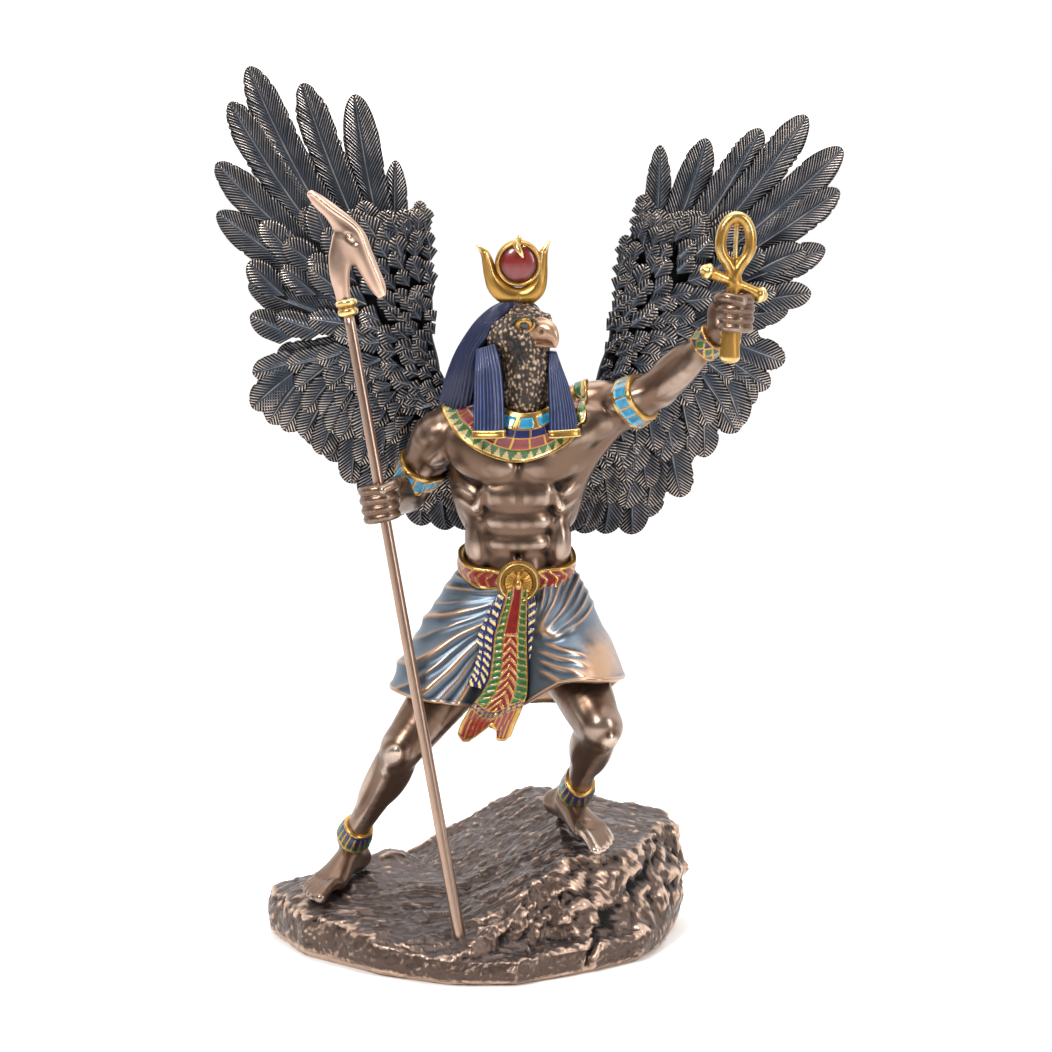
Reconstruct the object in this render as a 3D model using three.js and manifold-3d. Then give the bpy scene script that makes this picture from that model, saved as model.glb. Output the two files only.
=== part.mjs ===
// A cast figurine of a falcon-headed sun god: he strides up a broken rock with his wings
// spread, a long sceptre in his right hand and an ankh raised in his left.
// Millimetres, +Z up, +X to the left of the figure, his front towards -Y.
// The origin is the middle of the flat underside of the rock.
import * as THREE from 'three';
import { mergeVertices } from 'three/addons/utils/BufferGeometryUtils.js';
import Module from 'manifold-3d';

const wasm = await Module();
wasm.setup();

// Clearance kept between two pieces that touch.
const GAP = 0.3;

// Sides of a round section, by how large it is.
const BODY_SIDES = 10;
const LIMB_SIDES = 6;
const SMALL_SIDES = 5;
const TINY_SIDES = 4;
const BAND_SIDES = 20;
const KILT_SIDES = 36;
const BALL_SIDES = 6;
const BALL_ROWS = 3;

// The rock: its footprint, and the planes that shape its upper side.
const ROCK = {
  outline: [
    [-69, 21], [-68.5, 8], [-57, -15], [-33, -36], [-11, -47], [10, -47], [33, -33], [49, -20],
    [57, -2], [63, 22], [60, 42], [36, 49], [4, 50], [-28, 47], [-54, 38],
  ],
  // Ground line of the broken cliff at the front of the high block.
  cliff: [[2, -42], [30, -29], [50, -15], [62, 2], [74, 30]],
  cliffFoot: 9,
  ledgeFrom: 14,
  cliffSlope: 2.1,
  lowHeight: 20.5,
  lowFall: 0.25,
  topHeight: 39,
  topAt: [22, 14],
  topFallX: 0.18,
  topFallY: 0.15,
  rampFrom: [-24, 40],
  rampHeight: 18,
  rampSlope: 0.55,
  rampSkew: 0.35,
  mound: { at: [-32, 25], height: 5.5, radius: 9 },
  roughness: 0.9,
  sides: 42,
  // Footprint shares of the foot's undercut and of the rings from the shoulder inwards.
  foot: 0.985,
  rings: [0.97, 0.86, 0.68, 0.46, 0.24],
  bulgeAt: 0.35,
  shoulder: 2.2,
};

// The sceptre: a straight rod through the right fist, ending in the bent animal head.
const ROD = { top: [-41, -14, 201.6], foot: [-6.8, -35, 8.4], radius: 1.75 };

// The double gold ring under the sceptre's head.
const BEAD = { heights: [0.9, 4.6], half: 0.8, edge: 2.6, crest: 3.4 };

// The ankh: ends of its cross bar, the way its stem leans, and its loop.
const ANKH = {
  barEnds: [[67.4, -24.6, 217.8], [84.6, -20.6, 209.8]],
  lean: [1.5, 1.6, 37],
  stem: [
    { along: 2, wide: 2.2, deep: 2 }, { along: -11, wide: 2.2, deep: 2 },
    { along: -23.6, wide: 2.9, deep: 2.4 },
  ],
  bar: { middle: 1.9, end: 2.3 },
  loop: { wide: 5.4, high: 9.6, lift: 1.2, thick: 1.7, steps: 12, sides: 5 },
};

// Joints of the pose.
const NECK = [12.1, 1, 183];
const SHOULDER_R = [-13.9, 4, 163.5];
const ELBOW_R = [-24.5, 13.5, 142.6];
const FIST_R = [-31.3, -19.9, 145.7];
const SHOULDER_L = [33.2, 3, 169.5];
const ELBOW_L = [54, -7, 179.4];
const WRIST_L = [70.4, -17, 196.5];
const FIST_L = [76, -22.5, 204.6];
const HIP_R = [3.3, 2, 103];
const KNEE_R = [-25.6, -17, 68.1];
const ANKLE_R = [-42.4, 7, 33];
const HIP_L = [19, 2, 104];
const KNEE_L = [36.3, -30, 77.5];
const ANKLE_L = [29.2, 4, 49.4];
// How far the middle of a foot rises over the line from heel to ball.
const FOOT = { arch: 2.4 };
const FOOT_R = { heel: [-40.2, 12.6, 25], ball: [-49.4, -8, 22.2], toes: [-54.4, -15.4, 19.9] };
const FOOT_L = { heel: [22, 13.4, 43.2], ball: [33.6, -6.6, 38.4], toes: [37.6, -14.6, 35] };
const HEAD = [13.2, -4, 194.5];
// A closed fist: how its fingers stack along what it holds, and its palm.
const FIST = {
  spacing: 2.5, curl: 0.6, half: 4.6, finger: [1.4, 3.4], palm: [4.2, 3.4], palmBack: 3, palmHalf: 5.4,
};
// The way the head is turned.
const FACING = [0.74, -0.67, 0];

// The sun disc between its horns.
const DISC = { at: [10.7, 0, 217.4], radius: 7.2, depth: 4.4 };

// The broad collar: half widths of its two rims and how far the outer one hangs.
const COLLAR = {
  at: [10.6, 1.6], inner: 8.6, top: 178.4, wide: 24.2, deep: 16.6, side: 172.4, front: 158.2,
  arch: 1.8, lip: 6, under: 0.9, half: 1,
};

const BELT = { at: [9.9, 1.4, 122.6], wide: 18.6, deep: 13.8, height: 5.2, tilt: 0.22 };
const BUCKLE = { at: [10.6, -14.4, 120.2], radius: 6.4, depth: 3 };

// Hem of the kilt, once round from the middle of the front to his left.
const HEM = [
  [9, -17.5, 80], [23, -32.5, 92], [35.5, -37, 94], [42.8, -24, 91], [43.5, -9, 89], [38, 9, 80],
  [28, 18, 75], [12, 20, 74], [-5, 18.5, 75], [-20, 11, 79], [-28.6, -3, 85.3], [-28.5, -14, 85.4],
  [-20, -22, 84], [-7, -20.5, 82],
];
const KILT = {
  waist: [10, 1.6, 121], wide: 17.6, deep: 12.8, bulge: 2.4, fold: 0.9, folds: 9, dome: 101,
  rows: [0, 0.25, 0.6, 1],
};

// Stripe of the sash from the buckle to its curling end: middle of its face and half width.
const SASH = [
  { at: [10.6, -15.6, 118], wide: 3.2 }, { at: [10.4, -18.8, 106], wide: 4.2 },
  { at: [8.6, -20.6, 95], wide: 5.4 }, { at: [5.2, -21.6, 85], wide: 6.6 },
  { at: [1.4, -21.8, 76], wide: 7.6 }, { at: [-0.4, -22, 71.6], wide: 8 },
];
const SASH_THICKNESS = 2.2;
const SASH_RIDGE = 0.7;

// Fan of pleats behind the sash, read as the sash is.
const SASH_PLEATS = [
  { at: [10.6, -15.4, 110], wide: 6 }, { at: [10.6, -18, 98.6], wide: 9.2 },
  { at: [10.6, -19.6, 87.2], wide: 11.4 },
];

// Wings: tips of the flight feathers from the leading edge round to the lowest one.
const WING_RIGHT = {
  tips: [
    [-28.1, 25, 247.2], [-41, 28, 267.7], [-57.5, 30, 271.1], [-74.4, 30, 276.6], [-80.5, 31, 265],
    [-85.2, 31, 245.9], [-85.1, 31, 230.2], [-75.4, 30, 207.3], [-66.6, 30, 183.6], [-68.6, 30, 173.7],
    [-65.6, 29, 164.6], [-56.8, 28, 159.8], [-51.3, 27, 154.5], [-47.8, 26, 148.5], [-44.3, 25, 143],
    [-35, 24.5, 136], [-26.8, 24, 132.1], [-14.4, 23, 129.8], [-6.1, 22, 128.9],
  ],
  lead: [
    [-20.5, 22, 228], [-18.6, 21, 205], [-18, 20, 191], [-13, 19, 178], [-9, 18.5, 163], [-6, 18.5, 148],
  ],
  roots: [[-20, 22, 215], [-21.5, 21.5, 199], [-21, 21, 188], [-16, 20, 174], [-8, 19, 150]],
  stub: [[4, 9, 163], [-6, 19, 168]],
};
const WING_LEFT = {
  tips: [
    [55.2, 25, 252], [70.1, 28, 253.9], [87.2, 30, 256.8], [101.6, 32, 260.8], [113.3, 32, 250.5],
    [112.4, 32, 237.3], [108.2, 32, 218.9], [96.6, 32, 199.1], [82.1, 31, 178.5], [79.1, 30, 170.3],
    [75.5, 29, 162], [73.5, 28, 158.5], [67, 27, 149.8], [62.9, 26, 142.6], [55.6, 25, 139],
    [50.2, 24, 131.5], [46.8, 24, 126.1], [39.8, 23, 127.6], [33.4, 22, 127.6], [27.6, 22, 127.9],
  ],
  lead: [[51, 22, 227], [43.5, 21, 212], [42.4, 20, 198], [39, 19, 185], [33, 18.5, 168], [28, 18.5, 150]],
  roots: [[46, 22, 217], [48.5, 21.5, 201], [46.5, 21, 189], [40, 20, 175], [29, 19, 150]],
  stub: [[18, 9, 163], [29, 19, 170]],
};
const FEATHER = {
  thick: 1.5, from: 0.5, to: 1, wide: 5, forward: 0, every: 1,
  profile: [[0, 0.85], [0.45, 1], [0.8, 0.76], [1, 0.12]],
};
const COVERT = {
  thick: 1.6, from: 0.24, to: 0.64, wide: 8, forward: 1.8, every: 3,
  profile: [[0, 0.6], [0.6, 1], [1, 0.2]],
};
const WEB = { reach: 0.58, thick: 3.4 };
const WING_BONE = { top: 3, root: 4.6, deep: 3.2 };
const WING_STUB = 6.2;

const COLOUR = {
  bronze: 0x6e5142, rock: 0x54402f, wing: 0x4a4f57, rod: 0x8a6f5c, sceptre: 0x7a5f4c, gold: 0xb08a3c,
};

const vec = (p) => new THREE.Vector3(...p);
const mix = THREE.MathUtils.lerp;

// The place a share t of the way from a to b.
function between(a, b, t) {
  return vec(a).lerp(vec(b), t);
}

// A closed three.js geometry as a solid, whichever way its faces were wound.
function solid(geometry) {
  const plain = geometry.clone();
  plain.deleteAttribute('normal');
  plain.deleteAttribute('uv');
  const merged = mergeVertices(plain, 1e-4);
  const triVerts = new Uint32Array(merged.index.array);
  const vertProperties = merged.attributes.position.array;
  const made = new wasm.Manifold(new wasm.Mesh({ numProp: 3, vertProperties, triVerts }));
  if (made.volume() > 0) return made;
  const turned = triVerts.slice();
  for (let i = 0; i < turned.length; i += 3) {
    [turned[i + 1], turned[i + 2]] = [turned[i + 2], turned[i + 1]];
  }
  return new wasm.Manifold(new wasm.Mesh({ numProp: 3, vertProperties, triVerts: turned }));
}

// A solid back as a three.js geometry.
function geometryOf(made) {
  const mesh = made.getMesh();
  const geometry = new THREE.BufferGeometry();
  const places = new Float32Array(mesh.numVert * 3);
  for (let i = 0; i < mesh.numVert; i += 1) {
    for (let k = 0; k < 3; k += 1) places[3 * i + k] = mesh.vertProperties[mesh.numProp * i + k];
  }
  geometry.setAttribute('position', new THREE.BufferAttribute(places, 3));
  geometry.setIndex(Array.from(mesh.triVerts));
  geometry.computeVertexNormals();
  return geometry;
}

function join(solids) {
  return solids.reduce((all, one) => all.add(one));
}

// Skin over a stack of rings that all have the same number of points, closed at both ends
// by a fan. lastTip moves the middle of the last fan.
function loft(rings, lastTip = null) {
  const places = [];
  const faces = [];
  const sides = rings[0].length;
  const middle = (ring) => ring.reduce((sum, p) => sum.add(p), new THREE.Vector3()).divideScalar(sides);
  rings.forEach((ring) => ring.forEach((p) => places.push(p.x, p.y, p.z)));
  for (let r = 0; r + 1 < rings.length; r += 1) {
    for (let s = 0; s < sides; s += 1) {
      const here = r * sides + s;
      const next = r * sides + ((s + 1) % sides);
      faces.push(here, next, next + sides, here, next + sides, here + sides);
    }
  }
  const first = middle(rings[0]);
  const last = lastTip ?? middle(rings[rings.length - 1]);
  const low = places.length / 3;
  places.push(first.x, first.y, first.z, last.x, last.y, last.z);
  const top = (rings.length - 1) * sides;
  for (let s = 0; s < sides; s += 1) {
    const next = (s + 1) % sides;
    faces.push(low, next, s, low + 1, top + s, top + next);
  }
  const geometry = new THREE.BufferGeometry();
  geometry.setAttribute('position', new THREE.Float32BufferAttribute(places, 3));
  geometry.setIndex(faces);
  return solid(geometry);
}

// An ellipse of points about a place, with its half axes as vectors.
function ellipse(at, across, along, sides) {
  return Array.from({ length: sides }, (_, i) => {
    const turn = (2 * Math.PI * i) / sides;
    return at.clone().addScaledVector(across, Math.cos(turn)).addScaledVector(along, Math.sin(turn));
  });
}

// A limb: elliptical sections square to a smooth line, each station giving its middle and
// its half width and half depth. side is the way the width is measured. Both ends are rounded
// unless square is set.
function limb(stations, { side = [1, 0, 0], sides = LIMB_SIDES, grow = 0, square = false } = {}) {
  const middles = stations.map((s) => vec(s.at));
  const rings = [];
  const endRounding = 0.55;
  stations.forEach((station, i) => {
    const before = middles[Math.max(i - 1, 0)];
    const after = middles[Math.min(i + 1, middles.length - 1)];
    const along = after.clone().sub(before).normalize();
    const across = vec(side).addScaledVector(along, -vec(side).dot(along)).normalize();
    const third = along.clone().cross(across);
    const wide = station.wide + grow;
    const deep = (station.deep ?? station.wide) + grow;
    const ring = (place, scale) =>
      ellipse(
        place,
        across.clone().multiplyScalar(wide * scale),
        third.clone().multiplyScalar(deep * scale),
        sides,
      );
    const reach = endRounding * Math.min(wide, deep);
    if (i === 0 && !square) {
      rings.push(ring(middles[i].clone().addScaledVector(along, -reach), endRounding));
    }
    if (i === 0 && square) middles[i].addScaledVector(along, -grow);
    if (i === stations.length - 1 && square) middles[i].addScaledVector(along, grow);
    rings.push(ring(middles[i], 1));
    if (i === stations.length - 1 && !square) {
      rings.push(ring(middles[i].clone().addScaledVector(along, reach), endRounding));
    }
  });
  return loft(rings);
}

// A stretched ball between two places, for a muscle or a rounded mass.
function muscle(from, to, wide, deep = wide, side = [1, 0, 0], grow = 0) {
  const along = vec(to).sub(vec(from));
  const half = along.length() / 2 + grow;
  along.normalize();
  const across = vec(side).addScaledVector(along, -vec(side).dot(along)).normalize();
  const basis = new THREE.Matrix4().makeBasis(across, along, across.clone().cross(along));
  const ball = new THREE.SphereGeometry(1, BALL_SIDES, BALL_ROWS);
  ball.scale(wide + grow, half, deep + grow);
  ball.applyMatrix4(basis);
  const middle = between(from, to, 0.5);
  ball.translate(middle.x, middle.y, middle.z);
  return solid(ball);
}

function direction(from, to) {
  return vec(to).sub(vec(from)).toArray();
}

// Distance into the block from a line of points, positive on its inner side.
function depthInside(line, x, y) {
  let best = Infinity;
  for (let i = 0; i + 1 < line.length; i += 1) {
    const [ax, ay] = line[i];
    const [bx, by] = line[i + 1];
    const length = Math.hypot(bx - ax, by - ay);
    best = Math.min(best, ((bx - ax) * (y - ay) - (by - ay) * (x - ax)) / length);
  }
  return best;
}

// Height of the rock's upper side: a low slab on his right, rising to a block with a cliff.
function rockHeight(x, y) {
  const { mound } = ROCK;
  const away = Math.hypot(x - mound.at[0], y - mound.at[1]) / mound.radius;
  const low = ROCK.lowHeight + ROCK.lowFall * Math.min(y, 0) + mound.height * Math.exp(-away * away);
  const ramp =
    ROCK.rampHeight + ROCK.rampSlope * (x - ROCK.rampFrom[0] + ROCK.rampSkew * (y - ROCK.rampFrom[1]));
  const top =
    ROCK.topHeight -
    ROCK.topFallX * (x - ROCK.topAt[0]) +
    ROCK.topFallY * Math.min(y - ROCK.topAt[1], 0);
  const cliff = ROCK.cliffFoot + ROCK.cliffSlope * Math.max(depthInside(ROCK.cliff, x, y), 0);
  const ledge = x > ROCK.ledgeFrom ? ROCK.cliffFoot : Infinity;
  return Math.max(Math.min(low, ledge), Math.min(ramp, top, cliff));
}

// A steady unevenness of the broken stone.
function chip(x, y) {
  return ROCK.roughness * (Math.sin(0.61 * x + 1.3 * Math.sin(0.23 * y)) * Math.cos(0.47 * y + 0.19 * x));
}

// Where a ray from the middle crosses the footprint.
function outlineRadius(turn) {
  const [dx, dy] = [Math.cos(turn), Math.sin(turn)];
  const corners = ROCK.outline;
  let radius = 0;
  corners.forEach(([ax, ay], i) => {
    const [bx, by] = corners[(i + 1) % corners.length];
    const [ex, ey] = [bx - ax, by - ay];
    const cross = dx * ey - dy * ex;
    if (Math.abs(cross) < 1e-9) return;
    const reach = (ax * ey - ay * ex) / cross;
    const part = (ax * dy - ay * dx) / cross;
    if (reach > 0 && part >= 0 && part <= 1) radius = Math.max(radius, reach);
  });
  return radius;
}

function rock(grow = 0) {
  const turns = Array.from({ length: ROCK.sides }, (_, i) => (2 * Math.PI * i) / ROCK.sides);
  const ringAt = (share, heightOf) =>
    turns.map((turn) => {
      const radius = share * outlineRadius(turn) + grow;
      const [x, y] = [radius * Math.cos(turn), radius * Math.sin(turn)];
      return new THREE.Vector3(x, y, heightOf(x, y));
    });
  const upper = (x, y) => rockHeight(x, y) + chip(x, y) + grow;
  const rings = [
    ringAt(ROCK.foot, () => 0),
    ringAt(1, (x, y) => ROCK.bulgeAt * upper(x, y)),
    ...ROCK.rings.map((share, i) => ringAt(share, (x, y) => upper(x, y) - (i === 0 ? ROCK.shoulder : 0))),
  ];
  return loft(rings, new THREE.Vector3(0, 0, upper(0, 0)));
}

function rod(grow = 0) {
  const ends = [ROD.top, ROD.foot].map((at) => ({ at, wide: ROD.radius }));
  return limb(ends, { grow, square: true, sides: LIMB_SIDES });
}

// The bent animal head of the sceptre: one long curved blade from the ears to the snout,
// on a short neck that stands on a double gold ring.
function sceptreHead() {
  const up = vec(ROD.top).sub(vec(ROD.foot)).normalize();
  const foot = vec(ROD.top).addScaledVector(up, GAP);
  const on = (distance) => foot.clone().addScaledVector(up, distance).toArray();
  const neck = limb(
    [
      { at: on(0), wide: 2.4 }, { at: on(5), wide: 2.2 }, { at: on(9), wide: 2.6 },
      { at: [-44, -13, 217.5], wide: 3, deep: 2.4 }, { at: [-42.8, -13, 223], wide: 3.6, deep: 2.4 },
    ],
    { square: true, sides: SMALL_SIDES },
  );
  const rings = BEAD.heights.map((height) =>
    limb(
      [
        { at: on(height - BEAD.half), wide: BEAD.edge }, { at: on(height), wide: BEAD.crest },
        { at: on(height + BEAD.half), wide: BEAD.edge },
      ],
      { square: true, sides: LIMB_SIDES },
    ),
  );
  const blade = limb(
    [
      { at: [-53, -13.6, 240.6], wide: 1, deep: 1 }, { at: [-50.6, -13.4, 238], wide: 2.4, deep: 1.8 },
      { at: [-45.5, -13.2, 231.5], wide: 4, deep: 2.4 }, { at: [-40.4, -13, 226], wide: 4.6, deep: 2.9 },
      { at: [-36.4, -13, 220.4], wide: 3.4, deep: 2.5 }, { at: [-33, -13, 214], wide: 2.3, deep: 1.9 },
      { at: [-30.4, -13, 208.8], wide: 1.5, deep: 1.2 },
    ],
    { sides: SMALL_SIDES },
  );
  return join([neck, ...rings, blade]);
}

// The ankh: a leaning loop, a cross bar with knobbed ends and a square stem through the fist.
function ankh(grow = 0) {
  const { barEnds, loop } = ANKH;
  const upright = vec(ANKH.lean).normalize();
  const bar = vec(barEnds[1]).sub(vec(barEnds[0])).normalize();
  const cross = between(barEnds[0], barEnds[1], 0.5);
  const stem = limb(
    ANKH.stem.map(({ along, wide, deep }) => ({
      at: cross.clone().addScaledVector(upright, along).toArray(), wide, deep,
    })),
    { side: bar.toArray(), square: true, sides: SMALL_SIDES, grow },
  );
  const arm = limb(
    [
      { at: barEnds[0], wide: ANKH.bar.end }, { at: cross.toArray(), wide: ANKH.bar.middle },
      { at: barEnds[1], wide: ANKH.bar.end },
    ],
    { side: [0, 1, 0], sides: SMALL_SIDES, grow },
  );
  const centre = cross.clone().addScaledVector(upright, loop.high + loop.lift);
  const through = bar.clone().cross(upright).normalize();
  const section = (_, i) => {
    const turn = (2 * Math.PI * i) / loop.steps;
    const out = bar.clone().multiplyScalar(Math.sin(turn)).addScaledVector(upright, Math.cos(turn));
    const place = centre
      .clone()
      .addScaledVector(bar, loop.wide * Math.sin(turn))
      .addScaledVector(upright, loop.high * Math.cos(turn));
    const thick = loop.thick + grow;
    return ellipse(place, out.setLength(thick), through.clone().multiplyScalar(thick), loop.sides);
  };
  return join([stem, arm, ring(Array.from({ length: loop.steps }, section))]);
}

// Skin over rings that run once round and meet again.
function ring(rings) {
  const places = [];
  const faces = [];
  const sides = rings[0].length;
  rings.forEach((one) => one.forEach((p) => places.push(p.x, p.y, p.z)));
  for (let r = 0; r < rings.length; r += 1) {
    const after = (r + 1) % rings.length;
    for (let s = 0; s < sides; s += 1) {
      const next = (s + 1) % sides;
      const [a, b, c, d] = [r * sides + s, r * sides + next, after * sides + next, after * sides + s];
      faces.push(a, b, c, a, c, d);
    }
  }
  const geometry = new THREE.BufferGeometry();
  geometry.setAttribute('position', new THREE.Float32BufferAttribute(places, 3));
  geometry.setIndex(faces);
  return solid(geometry);
}

// Trunk from the crotch to the neck, with the chest and belly muscles that stand proud of it.
function trunk(grow = 0) {
  const core = limb(
    [
      { at: [10.4, 3, 98], wide: 11, deep: 9 }, { at: [10.2, 3, 105], wide: 17, deep: 12.5 },
      { at: [10, 2.4, 113], wide: 17.6, deep: 12.8 }, { at: [9.9, 1.4, 122], wide: 16.6, deep: 11.6 },
      { at: [9.9, 0.6, 131], wide: 16, deep: 10.8 }, { at: [10.2, 0.6, 140], wide: 16.6, deep: 11.4 },
      { at: [10.6, 1.6, 150], wide: 20, deep: 12.6 }, { at: [11, 2.6, 159], wide: 22.8, deep: 12.8 },
      { at: [11.2, 3.6, 166], wide: 22, deep: 11 }, { at: [11.8, 4, 171.6], wide: 15, deep: 8.8 },
      { at: [12, 3, 176], wide: 8, deep: 7.4 }, { at: NECK, wide: 6.6, deep: 6.6 },
    ],
    { sides: BODY_SIDES, grow },
  );
  const chest = [-1, 1].map((s) =>
    muscle([11.4 + 1.5 * s, -9.6, 155], [11.4 + 20.5 * s, -4.4, 161.5], 6.6, 3.9, [0, 0, 1], grow),
  );
  const bellyRows = [146.6, 139.8, 133];
  const belly = bellyRows.flatMap((z) =>
    [-1, 1].map((s) => {
      const inner = [10.4 + 0.6 * s, -10, z];
      const outer = [10.4 + 9.4 * s, -9.2, z + 0.6];
      return muscle(inner, outer, 3.5, 2.4, [0, 0, 1], grow);
    }),
  );
  const low = muscle([10.2, -9.4, 130], [10.2, -10, 114], 8.6, 2.6, [1, 0, 0], grow);
  return join([core, ...chest, ...belly, low]);
}

function armRight(grow = 0) {
  const upper = limb(
    [
      { at: [-3, 4, 164.5], wide: 7.6, deep: 6.8 }, { at: SHOULDER_R, wide: 8.6, deep: 8.2 },
      { at: [-18, 8, 155.5], wide: 8.2, deep: 7.6 }, { at: [-22, 11.4, 148], wide: 7.4, deep: 6.8 },
      { at: ELBOW_R, wide: 5.8, deep: 5.6 },
    ],
    { side: [0, 1, 0], grow },
  );
  const fore = limb(
    [
      { at: ELBOW_R, wide: 5.6, deep: 5.6 }, { at: [-26.2, 4.6, 143.4], wide: 6.2, deep: 6.2 },
      { at: [-28.6, -4.6, 144.8], wide: 5, deep: 4.9 }, { at: [-30.6, -12, 145.6], wide: 3.6, deep: 4 },
      { at: [-31, -16, 145.7], wide: 4.6, deep: 5.4 },
    ],
    { grow },
  );
  return join([upper, fore]);
}

function armLeft(grow = 0) {
  const upper = limb(
    [
      { at: [24, 3.4, 167], wide: 7.4, deep: 7.4 }, { at: SHOULDER_L, wide: 8.6, deep: 8.4 },
      { at: [41.5, 0.4, 172.4], wide: 8.4, deep: 8 }, { at: [48.5, -4, 176], wide: 7.9, deep: 7.4 },
      { at: ELBOW_L, wide: 6.4, deep: 6.2 },
    ],
    { side: [0, 1, 0], grow },
  );
  const fore = limb(
    [
      { at: ELBOW_L, wide: 6.2, deep: 6.2 }, { at: [60, -10.6, 185.4], wide: 6.4, deep: 6.2 },
      { at: [66, -14.4, 192], wide: 5, deep: 4.8 }, { at: WRIST_L, wide: 4, deep: 3.8 },
      { at: [73.4, -20, 201], wide: 4.8, deep: 4.4 },
    ],
    { side: [0, 1, 0], grow },
  );
  return join([upper, fore]);
}

// A closed fist about a bar: the palm, and four fingers that wrap round it.
function fist(at, barWay, palmWay) {
  const bar = vec(barWay).normalize();
  const palm = vec(palmWay).addScaledVector(bar, -vec(palmWay).dot(bar)).normalize();
  const other = bar.clone().cross(palm);
  const fingers = [-1.5, -0.5, 0.5, 1.5].map((k) => {
    const knuckle = vec(at).addScaledVector(bar, FIST.spacing * k).addScaledVector(palm, -FIST.curl);
    const start = knuckle.clone().addScaledVector(other, -FIST.half).toArray();
    const end = knuckle.clone().addScaledVector(other, FIST.half).toArray();
    return muscle(start, end, ...FIST.finger, bar.toArray());
  });
  const heel = vec(at).addScaledVector(palm, FIST.palmBack);
  const start = heel.clone().addScaledVector(bar, -FIST.palmHalf).toArray();
  const end = heel.clone().addScaledVector(bar, FIST.palmHalf).toArray();
  return join([muscle(start, end, ...FIST.palm, other.toArray()), ...fingers]);
}

// One leg with its foot. kneeSide is the way the width of the leg is measured.
function leg(hip, knee, ankle, heel, ball, toes, kneeSide) {
  const thigh = limb(
    [
      { at: hip, wide: 10.8 }, { at: between(hip, knee, 0.4).toArray(), wide: 10.6 },
      { at: between(hip, knee, 0.75).toArray(), wide: 9 }, { at: knee, wide: 7.6 },
    ],
    { side: kneeSide },
  );
  const behind = vec(ankle).sub(vec(knee)).cross(vec(kneeSide)).normalize();
  const calf = (t, back) => between(knee, ankle, t).addScaledVector(behind, back).toArray();
  const shin = limb(
    [
      { at: knee, wide: 7.4, deep: 7.6 }, { at: calf(0.22, 1), wide: 7.2, deep: 7.4 },
      { at: calf(0.42, 1.6), wide: 7.1, deep: 7.2 }, { at: calf(0.68, 0.9), wide: 5.4, deep: 5.4 },
      { at: calf(0.88, 0), wide: 4.2, deep: 4.4 }, { at: ankle, wide: 4.5, deep: 4.4 },
    ],
    { side: kneeSide },
  );
  const cap = muscle(calf(-0.12, -3.6), calf(0.14, -3.4), 4.6, 4, kneeSide);
  const across = vec(toes).sub(vec(heel)).cross(new THREE.Vector3(0, 0, 1)).normalize();
  const arch = between(heel, ball, 0.45).add(new THREE.Vector3(0, 0, FOOT.arch)).toArray();
  const foot = limb(
    [
      { at: heel, wide: 4, deep: 4.4 }, { at: arch, wide: 4.5, deep: 6 }, { at: ball, wide: 5.4, deep: 3.6 },
      { at: between(ball, toes, 0.5).toArray(), wide: 5.2, deep: 2.6 },
    ],
    { side: across.toArray() },
  );
  const toe = (aside, back, size) => {
    const start = vec(ball).addScaledVector(across, aside).toArray();
    const end = between(toes, heel, back).addScaledVector(across, aside).toArray();
    return muscle(start, end, ...size, across.toArray());
  };
  const digits = [toe(3.4, 0, [1.9, 1.9]), toe(-1.6, 0.06, [3.4, 1.5])];
  return join([thigh, shin, cap, foot, ...digits]);
}

function legs() {
  const right = leg(HIP_R, KNEE_R, ANKLE_R, FOOT_R.heel, FOOT_R.ball, FOOT_R.toes, [0.8, -0.6, 0]);
  const left = leg(HIP_L, KNEE_L, ANKLE_L, FOOT_L.heel, FOOT_L.ball, FOOT_L.toes, [-0.97, -0.25, 0]);
  return join([right, left]);
}

// The falcon's head and its feathered neck.
function falcon(grow = 0) {
  const face = vec(FACING);
  const forward = (distance, rise) =>
    vec(HEAD).addScaledVector(face, distance).add(new THREE.Vector3(0, 0, rise)).toArray();
  const skull = limb(
    [
      { at: forward(-2, 2.4), wide: 7 }, { at: forward(4, 1.8), wide: 6.6 },
      { at: forward(7.4, 1.4), wide: 4.6 },
    ],
    { side: [0, 0, 1], grow },
  );
  const throat = limb(
    [
      { at: forward(1, 2), wide: 7, deep: 7.4 }, { at: [13.4, -5.6, 185], wide: 6.8, deep: 7 },
      { at: [13, -5, 176.5], wide: 7.2, deep: 6.6 },
    ],
    { grow },
  );
  const beak = limb(
    [
      { at: forward(6, 1.6), wide: 3.6, deep: 3.4 }, { at: forward(10, 1.4), wide: 2.5, deep: 2.7 },
      { at: forward(12.2, -0.6), wide: 1.5, deep: 1.7 }, { at: forward(12.5, -2.6), wide: 0.6, deep: 0.7 },
    ],
    { side: [face.y, -face.x, 0], sides: SMALL_SIDES, grow },
  );
  return join([skull, throat, beak]);
}

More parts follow.
